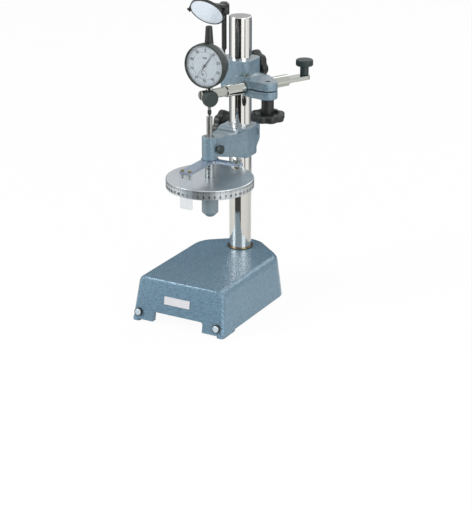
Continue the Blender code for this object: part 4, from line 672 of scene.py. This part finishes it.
EAR = -0.0220 * ACROSS                         # from the column's axis to the clamp's ears
ROD_STUD = 0.0590 * ACROSS                     # and to the stud that clamps the rod
lower_stud = Vector((0, *middle("lower_clamp_stud")[1:]))
column_stud = EAR + UP * middle("column_clamp_stud")[2]
star_knob("lower_clamp_knob", "lower_star", "lower_clamp", lower_stud, (-1, 0, 0), seat=0.0141)
star_knob("column_clamp_knob", "column_star", "column_clamp", column_stud, ALONG, seat=0.0173)
star_knob("rod_clamp_knob", "rod_star", "rod_clamp", ROD_STUD + UP * ROD_Z, (0, 0, -1), seat=0.0109)
for body in ("lower_clamp", "column_clamp", "rod_clamp"):
    carried(body + "_stud", body + "_stud_bar", body, STEEL)


# Thumb screws
HEAD_BEVEL = 0.0010                            # of the knurled head, across its flat faces
HEAD_EDGE = 0.0008                             # and along its side


def thumb_screw(node, name, body, origin, axis, seat, neck_radius, neck, radius, head, shank, tip,
                teeth):
    """Knurled head, neck and shank in one profile; only the head's rim takes the knurl."""
    under = seat + neck
    face = under + head
    flat = radius - HEAD_BEVEL
    rows = eased([
        (0, face, 0), (flat, face, 0), (radius, face - HEAD_EDGE, 1), (radius, under + HEAD_EDGE, 1),
        (flat, under, 0), (neck_radius, under, 0), (neck_radius, seat, 0), (shank, seat, 0),
        (shank, tip, 0), (0, tip, 0),
    ], size=0.0006, steps=3)
    turned(node, name, rows, body, THUMB, origin, axis, steps=teeth * 6,
           wobble=knurl(teeth, depth=0.00022, sharpness=0.7))


STEM_SCREW_BACK = 0.0085                       # from the stem's axis back along the rod
STEM_SCREW_DROP = 0.0010                       # below the rod's axis
TONGUE_SCREW = 0.1449                          # from the stem's axis to the screw on the rod's tongue
barrel_radius, barrel_foot, barrel_top = upright("micrometer_barrel")
barrel_play = barrel_radius + GAP
stem_line = Vector((0, -REACH, ROD_Z))
thumb_screw("stem_clamp_screw", "stem_thumb", "stem_screw",
            stem_line - ALONG * STEM_SCREW_BACK - UP * STEM_SCREW_DROP, ACROSS,
            seat=0.0063, neck_radius=0.0045, neck=0.0042, radius=0.0100, head=0.0082,
            shank=0.0020, tip=-0.0040, teeth=44)
thumb_screw("tongue_screw", "tongue_thumb", "tongue_screw",
            stem_line + ALONG * TONGUE_SCREW, UP,
            seat=0.0029, neck_radius=0.0055, neck=0.0118, radius=0.0110, head=0.0080,
            shank=0.0028, tip=-0.0030, teeth=36)
thumb_screw("micrometer_lock_screw", "lock_thumb", "lock_screw",
            (0, -REACH, middle("micrometer_lock_screw")[2]), (1, 0, 0),
            seat=0.0101, neck_radius=0.0024, neck=0.0024, radius=0.0055, head=0.0062,
            shank=0.0020, tip=barrel_play, teeth=28)


# Lower bracket, barrel and spindle
BARREL_BORE = 0.0041
LOWERED = 0.0001                               # ring below its solid, and hairline below the window
spindle_radius, spindle_foot, spindle_top = upright("micrometer_spindle")
retainer_radius, retainer_foot, retainer_top = upright("index_retainer")
barrel_wall = eased(tube(BARREL_BORE, barrel_radius, barrel_foot, barrel_top), size=0.0004)
spindle_side = eased(bar(spindle_radius, spindle_foot, spindle_top), size=0.0005)
retainer_wall = eased(tube(barrel_play, retainer_radius, retainer_foot - LOWERED, retainer_top - LOWERED),
                      size=0.0004)
carried("lower_bracket", "lower_casting", "lower_carrier", ARMS, CASTING_CREASE)
turned("micrometer_barrel", "barrel", barrel_wall, "lower_carrier", BARREL, MEASURING_AXIS,
       steps=SMALL, ring=True)
turned("micrometer_spindle", "spindle_bar", spindle_side, "spindle", STEEL, MEASURING_AXIS,
       steps=SMALL)
turned("index_retainer", "retaining_ring", retainer_wall, "lower_carrier", STEEL, MEASURING_AXIS,
       steps=SMALL, ring=True)


# Drum and its knob
DRUM_EDGE = 0.0008
DRUM_RIM_WALL = 0.0060
DRUM_WEB = 0.0042
DRUM_HUB_RADIUS = 0.0135
GRIP_CONE_RADIUS = 0.0098
GRIP_TIP_RADIUS = 0.0050
GRIP_SOCKET = 0.0040
drum_radius, drum_foot, drum_top = upright("drum")
grip_radius, grip_foot, grip_top = upright("drum_knob")
rim_inside = drum_radius - DRUM_RIM_WALL
web_foot = drum_top - DRUM_WEB
grip_side_foot, cone_top = grip_foot + 0.0056, grip_foot + 0.0047
bore_foot, socket_foot = grip_foot + 0.0070, grip_foot + 0.0030
turned("drum", "drum_wheel", eased([
    (barrel_play, drum_top), (drum_radius - DRUM_EDGE, drum_top), (drum_radius, drum_top - DRUM_EDGE),
    (drum_radius, drum_foot + DRUM_EDGE), (drum_radius - DRUM_EDGE, drum_foot), (rim_inside, drum_foot),
    (rim_inside, web_foot), (DRUM_HUB_RADIUS, web_foot), (DRUM_HUB_RADIUS, drum_foot),
    (barrel_play, drum_foot), (barrel_play, drum_top - SHORT),
]), "drum", DRUM, MEASURING_AXIS, steps=240, ring=True)
turned("drum_knob", "drum_grip", eased([
    (barrel_play, grip_top), (grip_radius, grip_top), (grip_radius, grip_side_foot),
    (GRIP_CONE_RADIUS, cone_top), (GRIP_TIP_RADIUS, grip_foot), (0, grip_foot), (0, socket_foot),
    (GRIP_SOCKET, socket_foot), (GRIP_SOCKET, bore_foot), (barrel_play, bore_foot),
    (barrel_play, grip_top - SHORT),
], size=0.0004), "drum", GREY, MEASURING_AXIS, steps=180, ring=True)


# Scales of the drum and the barrel
DIVISIONS = 500
DRUM_LINES_BELOW = 0.0010                      # from the drum's top down to the lines
DRUM_FIGURES_ABOVE = 0.0038                    # from its foot up to the figures' middle
rim = drum_radius + PRINT
rim_step = 2 * pi * rim / DIVISIONS
count = np.arange(DIVISIONS)
tops = np.stack([count * rim_step, np.zeros(DIVISIONS)], 1)
feet = np.stack([count * rim_step, -graded(count, tens=0.0040, fives=0.0034, rest=0.0024)], 1)
widths = graded(count, tens=0.00044, fives=0.00015, rest=0.00015)
marks = [on_drum(strokes(tops, feet, widths), rim, drum_top - DRUM_LINES_BELOW)]
for number in range(0, DIVISIONS, 10):
    digits = figure(str(number // 10), height=0.0048, weight=0.05)
    marks.append(on_drum(digits, rim, drum_foot + DRUM_FIGURES_ABOVE, (number * rim_step, 0)))
gathered("drum_marks", marks, "drum")

THREAD_PITCH = 0.0005                          # the barrel has a line for each turn of the drum
BARREL_LINES = 33
SCALE_ZERO = drum_top + 0.0014
SCALE_FOOT = -0.0016                           # ends of the upright line, from the zero
SCALE_TOP = 0.0165
SCALE_TURN = -0.0046                           # round the barrel from the front to the scale
FIGURES_ASIDE = 0.0060                         # and from the scale to its figures
skin = barrel_radius + PRINT
count = np.arange(BARREL_LINES)
starts = np.stack([np.full(BARREL_LINES, SCALE_TURN), count * THREAD_PITCH], 1)
lengths = np.where(count % 10 == 0, 0.0040, np.where(count % 2 == 0, 0.0026, 0.0016))
ends = starts + np.stack([lengths, np.zeros(BARREL_LINES)], 1)
across_lines = strokes(starts, ends, widths=0.00026)
upright_line = strokes([(SCALE_TURN, SCALE_FOOT)], [(SCALE_TURN, SCALE_TOP)], widths=0.00030)
marks = [on_drum(across_lines, skin, SCALE_ZERO), on_drum(upright_line, skin, SCALE_ZERO)]
for row in range(0, BARREL_LINES, 10):
    digits = figure(str(row // 2), height=0.0042, weight=0.07)
    marks.append(on_drum(digits, skin, SCALE_ZERO, (SCALE_TURN + FIGURES_ASIDE, row * THREAD_PITCH)))
gathered("barrel_marks", marks, "lower_carrier")


# Index plate and window
HAIR_HALF = 0.00008                            # half the hairline's width
window_low, window_high = box_of("index_window")
plate_low, plate_high = box_of("index_plate")
hair_foot, hair_top = window_low[2] - LOWERED, window_high[2] - LOWERED
hair_y = window_high[1] + PRINT
carried("index_plate", "index_arm", "index", INDEX, CASTING_CREASE)
carried("index_window", "clear_window", "index", CLEAR)
hair = [(-HAIR_HALF, hair_y, hair_foot), (HAIR_HALF, hair_y, hair_foot),
        (HAIR_HALF, hair_y, hair_top), (-HAIR_HALF, hair_y, hair_top)]
gathered("hairline", [(np.array(hair), [[3, 2, 1, 0]])], "index")
for side in ("left", "right"):
    carried("window_screw_" + side, "window_fixing_" + side, "index", BRASS)

PIN_RADIUS = 0.0016
PIN_HEAD_RADIUS = 0.0029
PIN_HEAD = 0.0030
pin_top, head_top = plate_high[2] + 0.0009, plate_low[2] - GAP
head_foot = head_top - PIN_HEAD
turned("lever_screw", "lever_pin", eased([
    (0, pin_top), (PIN_RADIUS, pin_top), (PIN_RADIUS, head_top), (PIN_HEAD_RADIUS, head_top),
    (PIN_HEAD_RADIUS, head_foot), (0, head_foot),
]), "index", DULL_BRASS, (middle("lever_screw")[0], -REACH, 0))


# Upper bracket and holder rod
carried("upper_bracket", "upper_casting", "upper_carrier", ARMS, CASTING_CREASE)
carried("guide_screw", "slotted_screw", "upper_carrier", PALE_BRASS)
carried("holder_rod", "stepped_rod", "rod", ROD_CHROME, MACHINED_CREASE)


# Indicator's case, stem and plunger
COVER_DISH_RADIUS = 0.0150
COVER_EDGE = 0.0016                            # thickness of the cover at its edge
STEM_BORE = 0.0023
CAP_SHOULDER_RADIUS = 0.0041
CAP_FLAT_RADIUS = 0.0033
TIP_SIDE = 0.0030                              # from the contact's point up to its knurled side
TIP_NOSE_RADIUS = 0.0010
dial_front = (0, -1, 0)
dial_middle = Vector((0, -REACH, DIAL_Z))
cover_radius, _, cover_front = ahead("case_cover")
stem_radius, stem_foot, stem_top = upright("indicator_stem")
cap_radius, cap_foot, cap_top = upright("plunger_cap")
plunger_radius, plunger_foot, plunger_top = upright("plunger")
tip_radius, tip_foot, tip_top = upright("contact_point")
cap_shoulder, cap_inside = cap_top - 0.0008, cap_top - 0.0030
carried("indicator_case", "case_body", "indicator", CASE, MACHINED_CREASE)
turned("case_cover", "rear_cover", eased([
    (0, cover_front - 0.0019), (COVER_DISH_RADIUS, cover_front - 0.0021),
    (cover_radius, cover_front - COVER_EDGE), (cover_radius, cover_front), (0, cover_front),
], size=0.0008, steps=3), "indicator", CASE, dial_middle, dial_front)
turned("indicator_stem", "stem_tube", eased(tube(STEM_BORE, stem_radius, stem_foot, stem_top)), "indicator",
       ROD_CHROME, MEASURING_AXIS, steps=SMALL, ring=True)
turned("plunger_cap", "top_cap", eased([
    (STEM_BORE, cap_foot), (cap_radius, cap_foot), (CAP_SHOULDER_RADIUS, cap_shoulder),
    (CAP_FLAT_RADIUS, cap_top), (0, cap_top), (0, cap_inside), (STEM_BORE, cap_inside),
    (STEM_BORE, cap_foot + SHORT),
], size=0.0004), "indicator", BLACK, MEASURING_AXIS, steps=SMALL, ring=True)
turned("plunger", "plunger_bar", eased(bar(plunger_radius, plunger_foot, plunger_top), size=0.0002),
       "plunger", STEEL, MEASURING_AXIS, steps=SMALL)
turned("contact_point", "contact_tip", eased([
    (0, tip_top, 0), (tip_radius, tip_top, 1), (tip_radius, tip_foot + TIP_SIDE, 1),
    (TIP_NOSE_RADIUS, tip_foot + 0.0009, 0), (TIP_NOSE_RADIUS - 0.0002, tip_foot + 0.0002, 0),
    (0, tip_foot, 0),
], steps=3), "plunger", BLACKENED, MEASURING_AXIS, wobble=knurl(24, depth=0.00012))


# Indicator's bezel and dial
LIP = 0.0254                                   # radius of the bezel's opening
LIP_THICKNESS = 0.0007
BEZEL_BORE = 0.0265
DIAL_HOLE = 0.0172                             # the graduated ring's inner radius
CROWN = 0.0002                                 # rise of the crystal's middle over its edge
CROWN_RADIUS = 0.0240                          # where half of that rise is reached
bezel_radius, bezel_back, bezel_front = ahead("bezel")
glass_radius, glass_back, glass_front = ahead("crystal")
dial_radius, dial_back, _ = ahead("dial_ring")
lip_back = bezel_front - LIP_THICKNESS
turned("bezel", "knurled_bezel", eased([
    (LIP, lip_back + SHORT, 0), (LIP, bezel_front - 0.0003, 0), (LIP + 0.0004, bezel_front, 0),
    (bezel_radius - 0.0010, bezel_front, 0), (bezel_radius, bezel_front - 0.0008, 0.6),
    (bezel_radius, bezel_back + 0.0065, 1), (bezel_radius, bezel_back + 0.0005, 1),
    (bezel_radius - 0.0004, bezel_back, 0), (BEZEL_BORE, bezel_back, 0), (BEZEL_BORE, lip_back, 0),
    (LIP, lip_back, 0),
]), "bezel", BEZEL, dial_middle, dial_front, steps=480,
    wobble=knurl(80, depth=0.00035, sharpness=0.8), ring=True)
turned("crystal", "watch_glass", eased([
    (0, glass_front + CROWN), (CROWN_RADIUS, glass_front + CROWN / 2), (glass_radius, glass_front),
    (glass_radius, glass_back), (0, glass_back),
]), "bezel", CRYSTAL, dial_middle, dial_front)
turned("dial_ring", "graduated_ring", [
    (DIAL_HOLE, DIAL_FACE), (dial_radius, DIAL_FACE), (dial_radius, dial_back), (DIAL_HOLE, dial_back),
], "bezel", DIAL, dial_middle, dial_front, ring=True)
carried("dial_centre", "inner_dial", "indicator", DIAL)

DIAL_LINES = 100
DIAL_TURN = radians(2)                         # the bezel as it is set, clockwise
LINES_RADIUS = 0.0246                          # outer ends of the lines
FIGURES_RADIUS = 0.0191
count = np.arange(DIAL_LINES)
ways = spokes(DIAL_LINES, DIAL_TURN)
inner = graded(count, tens=0.0212, fives=0.0222, rest=0.0230)
widths = graded(count, tens=0.00044, fives=0.00026, rest=0.00026)
marks = [on_dial(strokes(ways * inner[:, None], ways * LINES_RADIUS, widths))]
for number in range(0, DIAL_LINES, 10):
    digits = figure(str(number), height=0.0046, weight=0.03)
    marks.append(on_dial(digits, ways[number] * FIGURES_RADIUS))
gathered("ring_marks", marks, "bezel")

COUNTER = np.array((-0.0035, -0.0110))         # centre of the small turn counter, from the dial's centre
COUNTER_LINES = 20
COUNTER_RADIUS = 0.0058
COUNTER_FIGURES_RADIUS = 0.0036
DIVISION_FIGURES = (0, 0.0095)                 # place of the division's value, from the dial's centre
ways = spokes(COUNTER_LINES)
hoop = COUNTER + ways * COUNTER_RADIUS
inner = np.where(np.arange(COUNTER_LINES) % 2 == 0, 0.0046, 0.0051)
marks = [on_dial(strokes(COUNTER + ways * inner[:, None], hoop, widths=0.00036)),
         on_dial(strokes(hoop, np.roll(hoop, -1, 0), widths=0.00030))]
for number in range(0, 10, 2):
    digits = figure(str(number), height=0.0018)
    marks.append(on_dial(digits, COUNTER + ways[number * 2] * COUNTER_FIGURES_RADIUS))
marks.append(on_dial(figure("0.01", height=0.0034, weight=0.045), DIVISION_FIGURES))
gathered("counter_marks", marks, "indicator")
carried("pointer", "long_hand", "pointer", INK)
carried("counter_pointer", "short_hand", "counter_pointer", INK)


# Mirror
POST_AHEAD = 0.0096                            # from the clamp's ears forward to the post
POST_NECK_RADIUS = 0.0015
POST_NECK = 0.0140                             # length of the neck that sits in the bracket
POST_SHOULDER = 0.0024
GLASS_THICKNESS = 0.0016
GLASS_PROUD = 0.0015                           # of the pivots' line
post_radius, post_foot, post_top = upright("mirror_post")
neck_top = post_foot + POST_NECK
mirror_radius = upright("mirror_glass")[0]
mirror_axis = (0, -cos(MIRROR_TILT), -sin(MIRROR_TILT))
turned("mirror_post", "post_bar", eased([
    (0, post_top), (post_radius, post_top), (post_radius, neck_top + POST_SHOULDER),
    (POST_NECK_RADIUS, neck_top), (POST_NECK_RADIUS, post_foot), (0, post_foot),
]), "upper_carrier", BLACKENED, EAR - ALONG * POST_AHEAD, steps=SMALL)
carried("mirror_arm", "forked_arm", "mirror_arm", BLACK, CASTING_CREASE)
for side in ("left", "right"):
    carried("mirror_pivot_" + side, "pivot_" + side, "mirror_arm", BLACKENED)
carried("mirror_cell", "cell", "mirror", BLACKENED, MACHINED_CREASE)
turned("mirror_glass", "mirror_disc",
       eased(bar(mirror_radius, GLASS_PROUD - GLASS_THICKNESS, GLASS_PROUD), size=0.0004),
       "mirror", SILVER, MIRROR, mirror_axis, steps=FINE)


# Stage
CAMERA_PLACE = Vector((0.96148, -1.74596, 0.81707))
CAMERA_AIM = Vector((-0.451798, 0.815047, -0.362737))
FOCAL_PIXELS = 1627.18                         # focal length, in pixels of the photograph
PHOTO_HEIGHT = 514                             # in pixels; the sensor's width lies along this longer side
ROOM_Z = 0.0004                                # height of the room's sectors over the table
ROOM_EDGE = 2.6                                # and their outer radius
FLOOR_HALF = 6.0
FLOOR_Z = -0.0002
CARD_BEHIND = 0.36                             # from the column's axis, straight away from the camera
CARD_HALF = 0.6
CARD_HEIGHT = 0.27
camera_bearing = atan2(CAMERA_PLACE.y, CAMERA_PLACE.x)
towards_camera = Vector((cos(camera_bearing), sin(camera_bearing), 0))


def stage_plane(name, corners, cells, finish):
    """A flat surface of the stage, which is no piece of the object."""
    mesh = bpy.data.meshes.new(name)
    mesh.from_pydata(corners, [], cells)
    mesh.materials.append(finish.material)
    plane = bpy.data.objects.new(name, mesh)
    bpy.context.scene.collection.objects.link(plane)
    return plane


def pale_floor():
    """White paper that stays white to the camera and in reflections, but keeps part of the shadow."""
    finish = Finish("pale_floor", (0.95, 0.95, 0.95), roughness=0.8)
    seen = finish.node("ShaderNodeLightPath", output="Is Camera Ray")
    glossy = finish.node("ShaderNodeLightPath", output="Is Glossy Ray")
    through = finish.node("ShaderNodeLightPath", output="Is Transmission Ray")
    share = seen * 0.95 + glossy * 0.5 + through * 0.5
    paper = Wire(finish, finish.shader.outputs[0])
    glow = finish.node("ShaderNodeEmission", {}, {"Color": (1, 1, 1, 1), "Strength": 1.0})
    shown = finish.node("ShaderNodeMixShader", {}, {0: share, 1: paper, 2: glow})
    finish.tree.links.new(shown.socket, finish.tree.nodes["Material Output"].inputs["Surface"])
    return finish


def dim_card(name, colour, corners, cells):
    """A matt surface that only reflections see."""
    finish = Finish(name, colour, roughness=0.9)
    finish.put({"Specular IOR Level": 0.0})
    card = stage_plane(name, corners, cells, finish)
    for rays in ("camera", "diffuse", "shadow", "transmission"):
        setattr(card, "visible_" + rays, False)


def surround(name, level, first, last, near, far=ROOM_EDGE):
    """A sector of the room round the table: two angles from the camera's bearing, and two radii."""
    cells = 16
    angles = [camera_bearing + radians(first + (last - first) * step / cells) for step in range(cells + 1)]
    strip = [(reach * cos(angle), reach * sin(angle), ROOM_Z) for angle in angles for reach in (near, far)]
    dim_card(name, (level, level * 0.985, level * 0.95), strip,
             [[2 * cell, 2 * cell + 1, 2 * cell + 3, 2 * cell + 2] for cell in range(cells)])


floor = [(x * FLOOR_HALF, y * FLOOR_HALF, FLOOR_Z) for x, y in ((-1, -1), (1, -1), (1, 1), (-1, 1))]
stage_plane("floor", floor, [[0, 1, 2, 3]], pale_floor())
surround("dark_surround", 0.015, -56, 8, near=0.45)
surround("dim_surround", 0.06, -56, 6, near=0.20, far=0.45)
surround("grey_surround_left", 0.42, -152, -98, near=0.50)
surround("grey_surround_right", 0.32, 38, 53, near=0.50)
surround("pale_surround_left", 0.80, -152, -56, near=0.16, far=0.50)
surround("pale_surround_right", 0.80, 6, 152, near=0.16, far=0.50)
surround("grey_surround_rear", 0.40, 96, 132, near=0.50)

away, aside, rise = towards_camera * -CARD_BEHIND, towards_camera.cross(UP) * CARD_HALF, UP * CARD_HEIGHT
rear_card = [away - aside, away + aside, away + aside + rise, away - aside + rise]
dim_card("rear_card", (0.10, 0.13, 0.17), rear_card, [[0, 1, 2, 3]])


# Light and camera
AMBIENT = 0.5
MORE_TO_CAMERA = 0.5
MORE_TO_REFLECTIONS = 0.35
world = bpy.data.worlds.new("studio")
bpy.context.scene.world = world
world.use_nodes = True
sky = world.node_tree.nodes["Background"]
sky.inputs["Color"].default_value = (1, 1, 1, 1)
path = world.node_tree.nodes.new("ShaderNodeLightPath")
strength = None
for rays, more in (("Is Camera Ray", MORE_TO_CAMERA), ("Is Glossy Ray", MORE_TO_REFLECTIONS)):
    brighter = world.node_tree.nodes.new("ShaderNodeMath")
    brighter.operation = "MULTIPLY_ADD"
    brighter.inputs[1].default_value = more
    brighter.inputs[2].default_value = AMBIENT
    world.node_tree.links.new(path.outputs[rays], brighter.inputs[0])
    if strength:
        world.node_tree.links.new(strength, brighter.inputs[2])
    strength = brighter.outputs[0]
world.node_tree.links.new(strength, sky.inputs["Strength"])


def lamp(name, place, aim, size, power):
    """A soft square lamp that looks at a point."""
    light = bpy.data.lights.new(name, "AREA")
    light.size = size
    light.energy = power
    shade = bpy.data.objects.new(name, light)
    shade.location = place
    shade.rotation_euler = (Vector(aim) - Vector(place)).to_track_quat("-Z", "Y").to_euler()
    bpy.context.scene.collection.objects.link(shade)


lamp("key", place=(-1.3, -1.5, 1.3), aim=(0, -0.05, 0.15), size=1.1, power=31)
lamp("fill", place=(1.9, -0.9, 0.8), aim=(0, -0.05, 0.15), size=1.4, power=23)
lamp("rear", place=(0.4, 1.6, 1.5), aim=(0, 0, 0.2), size=1.2, power=8)

camera_data = bpy.data.cameras.new("photo_view")
camera_data.lens = FOCAL_PIXELS / PHOTO_HEIGHT * camera_data.sensor_width
camera_data.clip_end = 50
camera = bpy.data.objects.new("photo_view", camera_data)
camera.location = CAMERA_PLACE
camera.rotation_euler = CAMERA_AIM.to_track_quat("-Z", "Y").to_euler()
bpy.context.scene.collection.objects.link(camera)
bpy.context.scene.camera = camera
bpy.context.scene.view_settings.view_transform = "Standard"
